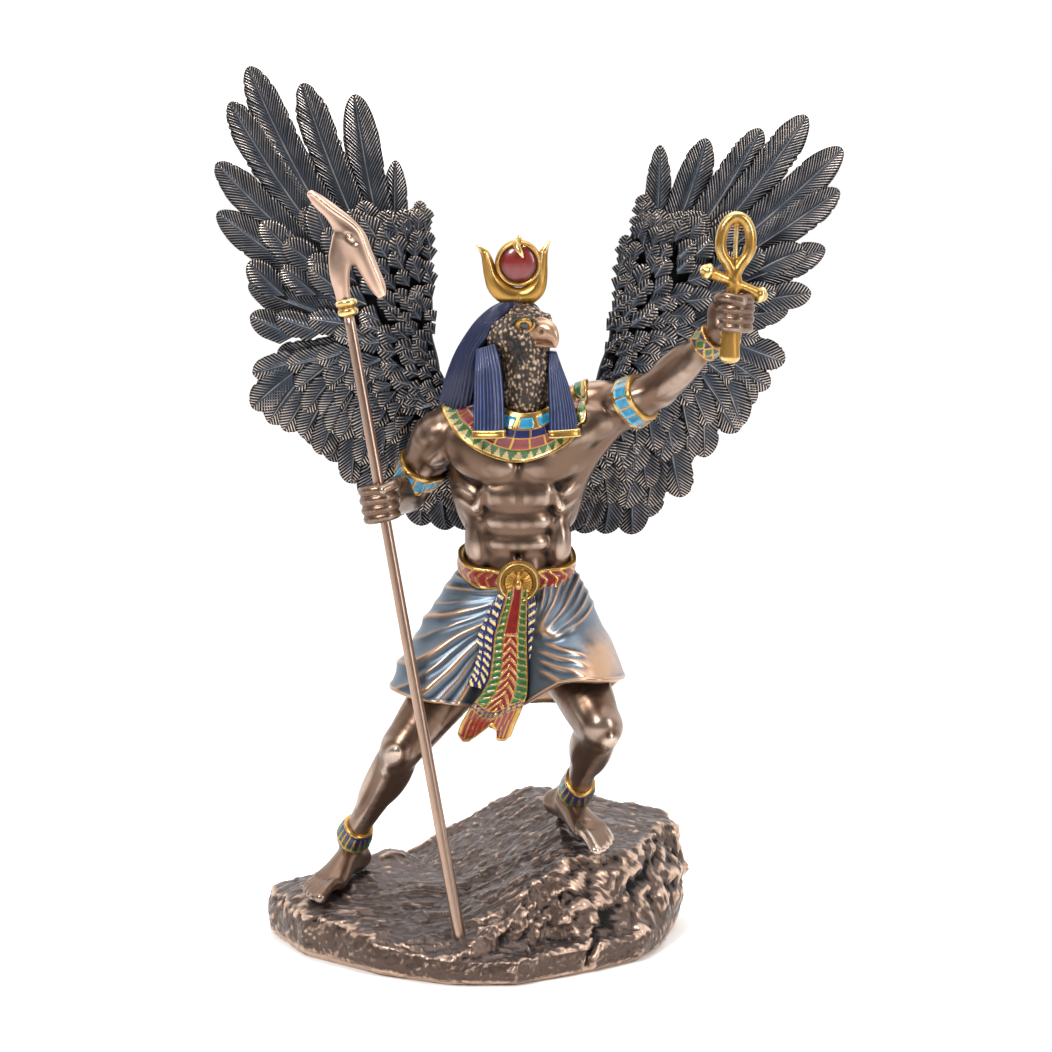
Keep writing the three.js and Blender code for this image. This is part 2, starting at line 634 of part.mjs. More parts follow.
// The striped cloth wig: cap, the fall over the back, and a lappet over each shoulder.
function wig(grow = 0) {
  const cap = limb(
    [
      { at: [10.4, 1, 190], wide: 9.8 }, { at: [10.4, 0, 198], wide: 10.2 },
      { at: [10.4, -0.4, 203], wide: 7.4 }, { at: [10.3, -0.4, 204.6], wide: 4 },
    ],
    { grow },
  );
  const fall = limb(
    [
      { at: [9.4, 2.4, 200], wide: 9.6, deep: 8.4 }, { at: [7, 4.4, 191], wide: 12, deep: 8 },
      { at: [6.2, 6.6, 183], wide: 14.6, deep: 7.6 }, { at: [6.6, 9.6, 175], wide: 17.6, deep: 6.6 },
      { at: [7.4, 12.4, 168], wide: 18.6, deep: 4.6 },
    ],
    { sides: BODY_SIDES, grow },
  );
  const lappetRight = limb(
    [
      { at: [3, -4.6, 196], wide: 4.6, deep: 3.6 }, { at: [1.6, -9.6, 188], wide: 5.2, deep: 3 },
      { at: [1.3, -13.4, 177], wide: 5.2, deep: 2.6 }, { at: [1.4, -16.2, 166.8], wide: 5.4, deep: 2.4 },
    ],
    { grow, square: true },
  );
  const lappetLeft = limb(
    [
      { at: [19, -1, 199], wide: 3.4, deep: 4.4 }, { at: [22, -5.6, 190], wide: 3.8, deep: 3.2 },
      { at: [24.2, -10.4, 178], wide: 4.8, deep: 2.6 }, { at: [25.8, -13.6, 166.8], wide: 5.4, deep: 2.4 },
    ],
    { grow, square: true },
  );
  return join([cap, fall, lappetRight, lappetLeft]);
}

// Sun disc, horns and the small cobra, on a low round stand.
function crown() {
  const { at } = DISC;
  const domeWide = 0.5 * DISC.radius;
  const slices = [[-0.5, domeWide], [-0.25, DISC.radius], [0.25, DISC.radius], [0.5, domeWide]];
  const disc = limb(
    slices.map(([share, wide]) => ({ at: [at[0], at[1] + share * DISC.depth, at[2]], wide })),
    { square: true, sides: BODY_SIDES },
  );
  const stand = limb(
    [{ at: [10, 1, 203], wide: 5 }, { at: [10, 0.8, 207], wide: 4.2 }, { at: [10.2, 0.4, 210.5], wide: 3.4 }],
    { square: true },
  );
  const horns = [-1, 1].map((s) =>
    limb(
      [
        { at: [10 + 2 * s, 0.6, 208], wide: 2.7 }, { at: [10.1 + 6.4 * s, 0.4, 209.4], wide: 2.4 },
        { at: [10.2 + 8.3 * s, 0.2, 213.4], wide: 1.9 }, { at: [10.2 + 8.9 * s, 0, 218], wide: 1.5 },
        { at: [10 + 11 * s, 0, 222.9], wide: 0.8 },
      ],
      { side: [0, 1, 0], sides: SMALL_SIDES },
    ),
  );
  const cobra = limb(
    [
      { at: [10.9, -2, 218], wide: 1 }, { at: [10.8, -2, 224], wide: 1.5 },
      { at: [10.4, -1.8, 226.2], wide: 0.8 },
    ],
    { sides: TINY_SIDES },
  );
  return join([disc, stand, ...horns, cobra]);
}

// The broad collar lies over the shoulders and dips at the breast and the back.
function collar(grow = 0) {
  const rimAt = (share, lift) =>
    Array.from({ length: BAND_SIDES }, (_, i) => {
      const turn = (2 * Math.PI * i) / BAND_SIDES;
      const wide = mix(COLLAR.inner, COLLAR.wide, share) + grow;
      const deep = mix(COLLAR.inner, COLLAR.deep, share ** 0.6) + grow;
      const outer = mix(COLLAR.side, COLLAR.front, Math.sin(turn) ** 2);
      const arch = COLLAR.arch * share * (1 - share) * Math.cos(turn) ** 2;
      const z = mix(COLLAR.top, outer, share ** 0.8) + arch + lift;
      const [x, y] = COLLAR.at;
      return new THREE.Vector3(x + wide * Math.cos(turn), y + deep * Math.sin(turn), z);
    });
  const under = [rimAt(COLLAR.under, -COLLAR.lip - grow), rimAt(1, -COLLAR.half - grow)];
  const over = [1, 0.5, 0].map((share) => rimAt(share, COLLAR.half + grow));
  return loft([...under, ...over]);
}

function belt() {
  const rise = new THREE.Vector3(0, -BELT.tilt, 1).multiplyScalar(BELT.height / 2);
  const edge = (at) => ({ at: at.toArray(), wide: BELT.wide, deep: BELT.deep });
  const edges = [edge(vec(BELT.at).sub(rise)), edge(vec(BELT.at).add(rise))];
  const strap = limb(edges, { square: true, sides: BAND_SIDES });
  const through = new THREE.Vector3(0, BUCKLE.depth, 0);
  const faces = [vec(BUCKLE.at).addScaledVector(through, -0.5), vec(BUCKLE.at).add(through)];
  const buckle = limb(
    faces.map((at) => ({ at: at.toArray(), wide: BUCKLE.radius })),
    { square: true, sides: BODY_SIDES },
  );
  return join([strap, buckle]);
}

// The kilt: folds run from the belt to a hem that follows both thighs, hollow below.
function kilt() {
  const hem = new THREE.CatmullRomCurve3(HEM.map(vec), true);
  const rings = KILT.rows.map((t) =>
    Array.from({ length: KILT_SIDES }, (_, i) => {
      const u = i / KILT_SIDES;
      const turn = 2 * Math.PI * u;
      const low = hem.getPoint(u);
      const high = new THREE.Vector3(
        KILT.waist[0] + KILT.wide * Math.sin(turn),
        KILT.waist[1] - KILT.deep * Math.cos(turn),
        KILT.waist[2],
      );
      const swell = KILT.bulge * Math.sin(Math.PI * t) + KILT.fold * t * Math.sin(KILT.folds * turn);
      return high.lerp(low, t).add(new THREE.Vector3(swell * Math.sin(turn), -swell * Math.cos(turn), 0));
    }),
  );
  return loft(rings, new THREE.Vector3(KILT.waist[0], KILT.waist[1], KILT.dome));
}

// The sash hangs over the front of the kilt, with a fan of pleats behind it.
function sash() {
  const half = SASH_THICKNESS / 2;
  const section = ({ at, wide }) =>
    [[-wide, half], [-wide, -half], [0, -half - SASH_RIDGE], [wide, -half], [wide, half]].map(
      ([aside, back]) => vec(at).add(new THREE.Vector3(aside, back, 0)),
    );
  return join([loft(SASH.map(section)), loft(SASH_PLEATS.map(section))]);
}

function figure() {
  const body = join([
    trunk(), armRight(), armLeft(), legs(), falcon(), wig(), crown(), collar(), kilt(), belt(), sash(),
    fist(FIST_R, direction(ROD.foot, ROD.top), [0.05, 1, 0]),
    fist(FIST_L, ANKH.lean, direction(FIST_L, WRIST_L)),
  ]);
  return body.subtract(rock(GAP)).subtract(rod(GAP)).subtract(ankh(GAP));
}

// One feather: a thin blade with a ridge down its front, which widens, then closes to a tip.
// It covers the stretch of its line from root to tip that its kind gives.
function feather({ root, tip }, edge, kind) {
  const forward = new THREE.Vector3(0, -kind.forward, 0);
  const from = root.clone().lerp(tip, kind.from).add(forward);
  const to = root.clone().lerp(tip, kind.to).add(forward);
  const along = to.clone().sub(from).normalize();
  const across = edge.clone().addScaledVector(along, -edge.dot(along)).normalize();
  const front = along.clone().cross(across).normalize();
  if (front.y > 0) front.negate();
  return loft(
    kind.profile.map(([t, share]) => {
      const depth = kind.thick * mix(1, 0.6, t) * Math.max(share, 0.4);
      const back = from.clone().lerp(to, t).addScaledVector(front, -depth);
      return [
        back.clone().addScaledVector(across, kind.wide * share),
        back.clone().addScaledVector(front, 2 * depth),
        back.clone().addScaledVector(across, -kind.wide * share),
      ];
    }),
  );
}

// A wing: flight feathers fanned from the arm of the wing, coverts over their roots, and a
// web that ties them together.
function wing({ tips, lead, roots, stub }) {
  const rootLine = new THREE.CatmullRomCurve3(roots.map(vec));
  const last = tips.length - 1;
  const fan = tips.map((tip, i) => ({ root: rootLine.getPoint(i / last), tip: vec(tip) }));
  const edgeOf = (i) => fan[Math.min(i + 1, last)].tip.clone().sub(fan[Math.max(i - 1, 0)].tip).normalize();
  const feathers = [FEATHER, COVERT].flatMap((kind) =>
    fan.map((line, i) => (i % kind.every === 0 ? feather(line, edgeOf(i), kind) : null)).filter(Boolean),
  );
  const back = new THREE.Vector3(0, WEB.thick / 2, 0);
  const web = loft(
    fan.map(({ root, tip }) => {
      const out = root.clone().lerp(tip, WEB.reach);
      return [root.clone().sub(back), out.clone().sub(back), out.clone().add(back), root.clone().add(back)];
    }),
  );
  const bone = limb(
    lead.map((at, i) => ({
      at, wide: mix(WING_BONE.top, WING_BONE.root, i / (lead.length - 1)), deep: WING_BONE.deep,
    })),
    { side: [0, 0, 1], sides: SMALL_SIDES },
  );
  const shoulder = limb(
    stub.map((at) => ({ at, wide: WING_STUB })),
    { sides: SMALL_SIDES, side: [0, 0, 1] },
  );
  return join([web, bone, shoulder, ...feathers]);
}

// What of the figure the wings come up against.
function wingSeat() {
  return join([trunk(GAP), armRight(GAP), armLeft(GAP), wig(GAP), collar(GAP), falcon(GAP)]);
}

function piece(name, made, color, roughness, metalness) {
  const material = new THREE.MeshStandardMaterial({ color, roughness, metalness });
  const mesh = new THREE.Mesh(geometryOf(made), material);
  mesh.name = name;
  return mesh;
}

const seat = wingSeat();
const figurine = new THREE.Group();
figurine.add(
  piece('rock_base', rock().subtract(rod(GAP)), COLOUR.rock, 0.55, 0.5),
  piece('figure', figure(), COLOUR.bronze, 0.35, 0.7),
  piece('wing_right', wing(WING_RIGHT).subtract(seat), COLOUR.wing, 0.45, 0.6),
  piece('wing_left', wing(WING_LEFT).subtract(seat), COLOUR.wing, 0.45, 0.6),
  piece('sceptre_rod', rod(), COLOUR.rod, 0.35, 0.8),
  piece('sceptre_head', sceptreHead(), COLOUR.sceptre, 0.35, 0.7),
  piece('ankh', ankh(), COLOUR.gold, 0.35, 0.8),
);

export default figurine;
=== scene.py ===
"""Figurine of a winged, falcon-headed sun god: cold-cast bronze on a broken rock."""
import math

import bpy
import numpy as np
from bpy.props import FloatProperty, FloatVectorProperty, PointerProperty
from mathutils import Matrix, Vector


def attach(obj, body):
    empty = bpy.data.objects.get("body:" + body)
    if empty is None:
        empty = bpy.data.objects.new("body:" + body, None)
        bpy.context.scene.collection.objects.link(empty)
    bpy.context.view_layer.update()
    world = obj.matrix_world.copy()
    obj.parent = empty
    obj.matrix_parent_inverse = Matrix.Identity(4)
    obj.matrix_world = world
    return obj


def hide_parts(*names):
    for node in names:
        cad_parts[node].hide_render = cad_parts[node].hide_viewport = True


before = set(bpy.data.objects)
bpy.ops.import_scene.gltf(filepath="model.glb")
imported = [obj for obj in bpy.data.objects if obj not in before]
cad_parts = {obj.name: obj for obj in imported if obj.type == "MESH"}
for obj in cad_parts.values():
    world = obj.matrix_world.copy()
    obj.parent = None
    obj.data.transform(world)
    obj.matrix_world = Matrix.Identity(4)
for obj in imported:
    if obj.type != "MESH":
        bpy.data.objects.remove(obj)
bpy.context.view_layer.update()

bl_info = {
    "name": "Falcon-headed figurine",
    "version": (1, 0, 0),
    "blender": (4, 5, 0),
    "location": "3D View > Sidebar > Figurine",
    "description": "Models a cold-cast figurine of a winged falcon-headed sun god and its studio",
    "category": "Object",
}

MM = 0.001
# Clay: the distance of an empty place, the room left about a solid, and how often a skin is evened out.
FAR = 50.0
SPARE = 4
SKIN_ROUNDS = 3


# Colours and sizes


def linear(code):
    """An sRGB hex colour as linear red, green and blue."""
    parts = [int(code[i : i + 2], 16) / 255 for i in (1, 3, 5)]
    return tuple(c / 12.92 if c <= 0.04045 else ((c + 0.055) / 1.055) ** 2.4 for c in parts)


def colour(name, code, words):
    return FloatVectorProperty(
        name=name, description=words, default=linear(code), subtype="COLOR", size=3, min=0, max=1
    )


def length(name, millimetres, words):
    return FloatProperty(name=name, description=words, default=millimetres * MM, unit="LENGTH", min=0)


class FigurineColours(bpy.types.PropertyGroup):
    """The paints of the figurine, by where they are used."""

    bronze: colour("Bronze", "#6c5546", "Skin, on flat places")
    # Creases: a dark wash and painted shade.
    bronze_dark: colour("Bronze in hollows", "#1d120d", "Skin, in creases")
    # Crests: rubbed bronze and a painted highlight.
    bronze_rubbed_and_highlight: colour("Bronze, rubbed", "#c9b3a3", "Skin, on crests")
    wing: colour("Gunmetal", "#343a43", "Wings, on flat places")
    # Between the barbs: near-black painted shade.
    wing_dark: colour("Gunmetal in hollows", "#050608", "Wings, between the barbs")
    # Crests: dry-brushed copper and a painted highlight.
    wing_rubbed_and_highlight: colour("Copper on feathers", "#c4b3a5", "Wings, dry-brushed crests")
    cloth: colour("Kilt blue-grey", "#5b6671", "Kilt, on flat places")
    # In the folds: painted shade.
    cloth_dark: colour("Kilt in hollows", "#12171d", "Kilt, in the folds")
    cloth_rubbed: colour("Kilt bronze", "#b08d72", "Kilt, on the ridges of the folds")
    rock: colour("Rock", "#5b4a41", "Rock, on flat places")
    # Cracks: a dark wash and painted shade.
    rock_dark: colour("Rock in hollows", "#0f0a08", "Rock, in cracks")
    # Broken edges: rubbed copper and a painted highlight.
    rock_rubbed_and_highlight: colour("Rock copper", "#cdae98", "Rock, on broken edges")
    # Painted sheen: grey laid on the upper faces, where light from above falls.
    rock_patina_and_sheen: colour("Rock patina", "#4f4848", "Upper faces of the rock")
    wig: colour("Wig navy", "#121b42", "Strands of the wig")
    wig_light: colour("Wig light", "#6278b4", "Crests of the strands")
    gold: colour("Gold", "#ad8342", "Gold paint")
    # Recesses: a brown wash and painted shade.
    gold_dark: colour("Gold in hollows", "#3a230f", "Gold paint, in the recesses")
    gold_pale: colour("Gold, rubbed", "#efd69a", "Gold paint, on crests")
    turquoise: colour("Turquoise", "#2f9dc4", "Tiles of the armlets and the collar")
    red: colour("Red", "#8a1610", "Belt, sash and collar")
    green: colour("Green", "#2f6a2c", "Sash, anklets and collar")
    navy: colour("Navy", "#20245c", "Fan of the sash and collar")
    disc: colour("Disc red", "#6a0f0c", "Sun disc")
    feather: colour("Face brown", "#33271f", "Feathers of the face")
    feather_tip: colour("Face tan", "#c2a68c", "Tips of the feathers of the face")
    rod: colour("Rod bronze", "#a88c7b", "Rod of the sceptre")
    floor: colour("Floor", "#f6f6f6", "Studio floor")


class FigurineSizes(bpy.types.PropertyGroup):
    """Sizes of the finer relief."""

    barb: length("Barb spacing", 1.3, "From one barb of a feather to the next")
    barb_depth: length("Barb depth", 0.16, "Half the height of a barb")
    clay: length("Clay step", 0.78, "Grid step of the body")
    clay_fine: length("Fine clay step", 0.45, "Grid step of hands and feet")
    clay_face: length("Face clay step", 0.36, "Grid step of the falcon's head")
    tile: length("Tile step", 0.32, "Grid step of the painted ornament")
    cloison: length("Cell wall height", 0.3, "How far gold walls stand over the paint")


def colours():
    return bpy.context.scene.figurine_colours


def sizes(name):
    """A size of the finer relief, in millimetres."""
    return getattr(bpy.context.scene.figurine_sizes, name) / MM


# Curves and directions


def unit(v):
    """A direction of length one."""
    v = np.asarray(v, float)
    return v / np.maximum(np.linalg.norm(v, axis=-1, keepdims=True), 1e-9)


def square_to(v, axis):
    """The part of v square to axis, as a direction."""
    v = np.asarray(v, float)
    return unit(v - np.sum(v * axis, axis=-1, keepdims=True) * axis)


def curve(points, t, closed=False):
    """A smooth line through points, read at shares t of its way."""
    p = np.asarray(points, float)
    spans = len(p) if closed else len(p) - 1
    place = np.asarray(t, float) * spans
    i = np.clip(np.floor(place).astype(int), 0, spans - 1)
    f = (place - i)[..., None]
    if closed:
        a, b, c, d = (p[(i + k) % len(p)] for k in (-1, 0, 1, 2))
    else:
        ends = np.vstack([2 * p[0] - p[1], p, 2 * p[-1] - p[-2]])
        a, b, c, d = (ends[i + k] for k in range(4))
    return 0.5 * (2 * b + (c - a) * f + (2 * a - 5 * b + 4 * c - d) * f**2 + (3 * b - a - 3 * c + d) * f**3)


def step_up(edge, width, x):
    """0 below edge, 1 above it, smooth over width."""
    t = np.clip((x - edge) / width + 0.5, 0, 1)
    return t * t * (3 - 2 * t)


# Large primes that scatter neighbouring cells, and the range that is kept of the result.
HASH_PRIMES = (73856093, 19349663, 83492791)
HASH_STIR = 1274126177
HASH_RANGE = 0xFFFFF


def hash_noise(cells):
    """A steady value from 0 to 1 for each whole-numbered cell."""
    x, y, z = (cells.astype(np.int64)[..., k] * prime for k, prime in enumerate(HASH_PRIMES))
    h = x ^ y ^ z
    h = (h ^ (h >> 13)) * HASH_STIR
    return ((h ^ (h >> 16)) & HASH_RANGE) / HASH_RANGE


def corner_shares(f):
    """Each corner of a grid cell, with its share in a value read at f across the cell."""
    for corner in np.ndindex(2, 2, 2):
        x, y, z = (f[..., k] if far else 1 - f[..., k] for k, far in enumerate(corner))
        yield corner, x * y * z


def noise(p, scale):
    """Smooth noise from -1 to 1, with lumps of about scale."""
    g = np.asarray(p, float) / scale
    i = np.floor(g)
    f = g - i
    f = f * f * (3 - 2 * f)
    total = 0
    for corner, share in corner_shares(f):
        total = total + share * hash_noise(i + np.array(corner))
    return 2 * total - 1


# Clay: a block that solids are pressed together in


class Clay:
    """A grid of distances to a surface. Solids are joined to it and cut from it softly."""

    def __init__(self, low, high, step):
        self.low = np.array(low, float)
        self.step = step
        self.count = np.ceil((np.array(high) - self.low) / step).astype(int) + 1
        self.field = np.full(self.count, FAR, np.float32)

    def window(self, low, high, margin):
        """The part of the grid about a box, and the coordinates of its nodes."""
        first = np.floor((np.asarray(low) - margin - self.low) / self.step).astype(int)
        last = np.ceil((np.asarray(high) + margin - self.low) / self.step).astype(int) + 1
        first, last = np.clip(first, 0, self.count), np.clip(last, 0, self.count)
        if np.any(last - first < 2):
            return None, None
        axes = [self.low[k] + self.step * np.arange(first[k], last[k]) for k in range(3)]
        grid = np.meshgrid(*axes, indexing="ij", sparse=True)
        return tuple(slice(a, b) for a, b in zip(first, last)), grid

    def blend(self, part, distance, soft, sign):
        """Joins (sign 1) or cuts away (sign -1) distances, rounding the meeting over soft."""
        old = sign * self.field[part]
        new = distance
        rounding = np.maximum(soft - np.abs(old - new), 0) ** 2 / (4 * soft)
        self.field[part] = sign * (np.minimum(old, new) - rounding)

    def limb(self, stations, soft, side=(1, 0, 0), sign=1, pieces=6):
        """A limb through stations (x, y, z, wide, deep), its width measured along side."""
        s = np.array([row if len(row) == 5 else (*row, row[3]) for row in stations], float)
        s = curve(s, np.linspace(0, 1, pieces * (len(s) - 1) + 1))
        reach = s[:, 3:].max()
        whole, _ = self.window(s[:, :3].min(0), s[:, :3].max(0), reach + SPARE + soft)
        if whole is None:
            return
        distance = np.full([w.stop - w.start for w in whole], FAR, np.float32)
        starts = [w.start for w in whole]
        for a, b in zip(s[:-1], s[1:]):
            margin = max(a[3:].max(), b[3:].max()) + SPARE + soft
            part, grid = self.window(np.minimum(a[:3], b[:3]), np.maximum(a[:3], b[:3]), margin)
            if part is None:
                continue
            x, y, z = grid
            along = b[:3] - a[:3]
            size = np.linalg.norm(along)
            along = along / max(size, 1e-6)
            across = square_to(side, along)
            third = np.cross(along, across)
            x, y, z = x - a[0], y - a[1], z - a[2]
            w = x * along[0] + y * along[1] + z * along[2]
            t = np.clip(w / max(size, 1e-6), 0, 1)
            u = x * across[0] + y * across[1] + z * across[2]
            v = x * third[0] + y * third[1] + z * third[2]
            wide = a[3] + (b[3] - a[3]) * t
            deep = a[4] + (b[4] - a[4]) * t
            least = np.minimum(wide, deep)
            k = np.sqrt((u / wide) ** 2 + (v / deep) ** 2 + ((w - t * size) / least) ** 2)
            here = ((k - 1) * least).astype(np.float32)
            inner = tuple(slice(w.start - first, w.stop - first) for w, first in zip(part, starts))
            distance[inner] = np.minimum(distance[inner], here)
        self.blend(whole, distance, soft, sign)

    def muscle(self, a, b, wide, deep=None, side=(1, 0, 0), *, soft, sign=1):
        """A spindle from a to b, wide along side."""
        a, b = np.array(a, float), np.array(b, float)
        deep = wide if deep is None else deep
        half = np.linalg.norm(b - a) / 2
        along = unit(b - a)
        across = square_to(side, along)
        third = np.cross(along, across)
        middle = (a + b) / 2
        reach = max(half, wide, deep)
        part, grid = self.window(middle, middle, reach + 2 + soft)
        if part is None:
            return
        x, y, z = (g - m for g, m in zip(grid, middle))
        rows = []
        for axis, size in ((along, half), (across, wide), (third, deep)):
            rows.append((x * axis[0] + y * axis[1] + z * axis[2], size))
        k = np.sqrt(sum((value / size) ** 2 for value, size in rows))
        slope = np.sqrt(sum((value / size**2) ** 2 for value, size in rows))
        distance = (k * (k - 1) / np.maximum(slope, 1e-4)).astype(np.float32)
        self.blend(part, distance, soft, sign)

    def groove(self, points, radius, soft):
        """A crease cut along points."""
        self.limb([(*p, radius, radius) for p in points], soft=soft, sign=-1, pieces=4)

    def keep_side(self, at, outward):
        """Cuts away all that lies beyond a plane."""
        _, (x, y, z) = self.window(self.low, self.low + self.step * self.count, 0)
        n = unit(outward)
        plane = (x - at[0]) * n[0] + (y - at[1]) * n[1] + (z - at[2]) * n[2]
        self.field = np.maximum(self.field, plane.astype(np.float32))

    def read(self, places):
        """Distance to the surface at places in millimetres."""
        g = (np.asarray(places, float) - self.low) / self.step
        i = np.clip(np.floor(g).astype(int), 0, self.count - 2)
        f = np.clip(g - i, 0, 1)
        total = 0
        for corner, share in corner_shares(f):
            total = total + share * self.field[tuple(i[..., k] + corner[k] for k in range(3))]
        return total

    def outward(self, places):
        """Direction away from the surface at places."""
        h = 0.75 * self.step
        slopes = [self.read(places + h * axis) - self.read(places - h * axis) for axis in np.eye(3)]
        return unit(np.stack(slopes, axis=-1))

    def settle(self, places, level, rounds=3):
        """Moves places along the slope until they are level away from the surface."""
        places = np.array(places, float)
        for _ in range(rounds):
            gap = np.clip(self.read(places) - level, -3, 3)
            places = places - gap[..., None] * self.outward(places)
        return places

    def skin(self):
        """Places and four-sided faces of the surface."""
        f = self.field.copy()
        for k in range(3):
            np.moveaxis(f, k, 0)[[0, -1]] = FAR
        inside = f < 0
        corner = sum(
            inside[
                dx : inside.shape[0] - 1 + dx, dy : inside.shape[1] - 1 + dy, dz : inside.shape[2] - 1 + dz
            ].astype(np.int8)
            for dx in (0, 1) for dy in (0, 1) for dz in (0, 1)
        )
        cells = np.argwhere((corner > 0) & (corner < 8))
        number = np.full(corner.shape, -1, np.int64)
        number[tuple(cells.T)] = np.arange(len(cells))
        value = {}
        for c in np.ndindex(2, 2, 2):
            at = cells + c
            value[c] = f[at[:, 0], at[:, 1], at[:, 2]]
        total = np.zeros((len(cells), 3))
        hits = np.zeros(len(cells))
        for axis in range(3):
            for c in value:
                if c[axis]:
                    continue
                d = tuple(1 if k == axis else c[k] for k in range(3))
                crossed = (value[c] < 0) != (value[d] < 0)
                t = value[c] / np.where(crossed, value[c] - value[d], 1)
                point = np.repeat(np.array(c, float)[None], len(cells), 0)
                point[:, axis] = t
                total[crossed] += point[crossed]
                hits += crossed
        places = self.low + self.step * (cells + total / np.maximum(hits, 1)[:, None])
        quads = []
        for axis in range(3):
            near = [slice(None)] * 3
            far = [slice(None)] * 3
            near[axis], far[axis] = slice(None, -1), slice(1, None)
            change = inside[tuple(near)] != inside[tuple(far)]
            e1, e2 = np.eye(3, dtype=int)[(axis + 1) % 3], np.eye(3, dtype=int)[(axis + 2) % 3]
            at = np.argwhere(change)
            at = at[(at[:, (axis + 1) % 3] > 0) & (at[:, (axis + 2) % 3] > 0)]
            ring = [number[tuple((at - k).T)] for k in (0 * e1, e1, e1 + e2, e2)]
            quad = np.stack(ring, axis=1)
            flip = ~inside[tuple(at.T)]
            quad[flip] = quad[flip][:, ::-1]
            quads.append(quad)
        quads = np.vstack(quads)
        links = links_of(quads)
        for _ in range(SKIN_ROUNDS):
            places = 0.5 * places + 0.5 * neighbour_mean(places, links)
            places = self.settle(places, 0.0, 1)
        return places, quads


# Meshes


def links_of(quads):
    """The edges of four-sided faces, each once."""
    pairs = np.vstack([quads[:, [k, (k + 1) % 4]] for k in range(4)])
    pairs = np.unique(np.sort(pairs, axis=1), axis=0)
    return pairs[pairs[:, 0] != pairs[:, 1]]


def neighbour_mean(values, links):
    """For each point, the mean value of the points it is linked to."""
    values = np.asarray(values, float)
    count = len(values)
    near = np.bincount(links.ravel(), minlength=count).astype(float)
    flat = values.reshape(count, -1)
    out = np.empty_like(flat)
    for k in range(flat.shape[1]):
        out[:, k] = np.bincount(links[:, 0], flat[links[:, 1], k], count)
        out[:, k] += np.bincount(links[:, 1], flat[links[:, 0], k], count)
    return (out / np.maximum(near, 1)[:, None]).reshape(values.shape)


def normals_of(places, quads):
    """Outward direction at each point."""
    a, b, c, d = (places[quads[:, k]] for k in range(4))
    face = np.cross(c - a, d - b)
    out = np.zeros_like(places)
    for k in range(4):
        for axis in range(3):
            out[:, axis] += np.bincount(quads[:, k], face[:, axis], len(places))
    return unit(out)


def crests(places, quads, rounds, gain):
    """How far each point stands proud of its surroundings: 0 in a crease, 0.5 flat, 1 on an edge."""
    links = links_of(quads)
    normals = normals_of(places, quads)
    size = np.linalg.norm(places[links[:, 0]] - places[links[:, 1]], axis=1).mean()
    smooth = places
    for _ in range(rounds):
        smooth = neighbour_mean(smooth, links)
    rise = np.sum((places - smooth) * normals, axis=1) / size
    rise = 0.5 * rise + 0.5 * neighbour_mean(rise, links)
    return np.clip(0.5 + gain * rise, 0, 1)


def grid_faces(rows, columns, round_columns=False):
    """Faces of a sheet of rows by columns, whose last column may meet the first."""
    spans = columns if round_columns else columns - 1
    r, c = np.meshgrid(np.arange(rows - 1), np.arange(spans), indexing="ij")
    here = r * columns + c
    side = r * columns + (c + 1) % columns
    return np.stack([here, side, side + columns, here + columns], axis=-1).reshape(-1, 4)


def end_caps(rows, columns, front, under):
    """Faces that close both ends of a flattened tube, from its front columns to those under them."""
    k = np.arange(front)
    low = np.asarray(under)[np.round(np.linspace(0, len(under) - 1, front)).astype(int)]
    cap = np.stack([k[:-1], k[1:], low[1:], low[:-1]], axis=1)
    return np.vstack([cap[:, ::-1], cap + (rows - 1) * columns])


class Build:
    """Gathers sheets of points and faces that make up one piece."""

    def __init__(self):
        self.places, self.quads, self.wear, self.paint = [], [], [], []
        self.count = 0

    def put(self, places, quads, wear, paint=0):
        places = np.asarray(places, float).reshape(-1, 3)
        quads = np.asarray(quads)
        self.places.append(places)
        self.quads.append(quads + self.count)
        self.wear.append(np.asarray(wear, float).ravel())
        self.paint.append(np.full(len(quads), paint) if np.isscalar(paint) else np.asarray(paint).ravel())
        self.count += len(places)

    def tube(self, rings, wear):
        """A closed skin over rings of points, with rounded-in ends."""
        rings = np.asarray(rings, float)
        first, last = rings[0].mean(0), rings[-1].mean(0)
        ends = first + 0.02 * (rings[:1] - first), last + 0.02 * (rings[-1:] - last)
        rings = np.concatenate([ends[0], rings, ends[1]])
        rows, columns = rings.shape[:2]
        half = np.arange(1, columns // 2)
        cap = np.stack([half - 1, half, columns - 1 - half, (columns - half) % columns], axis=1)
        quads = np.vstack([grid_faces(rows, columns, True), cap[:, ::-1], cap + (rows - 1) * columns])
        self.put(rings, quads, np.concatenate([wear[:1], wear, wear[-1:]]))

    def done(self):
        places, quads = np.vstack(self.places), np.vstack(self.quads)
        return places, quads, np.concatenate(self.wear), np.concatenate(self.paint)


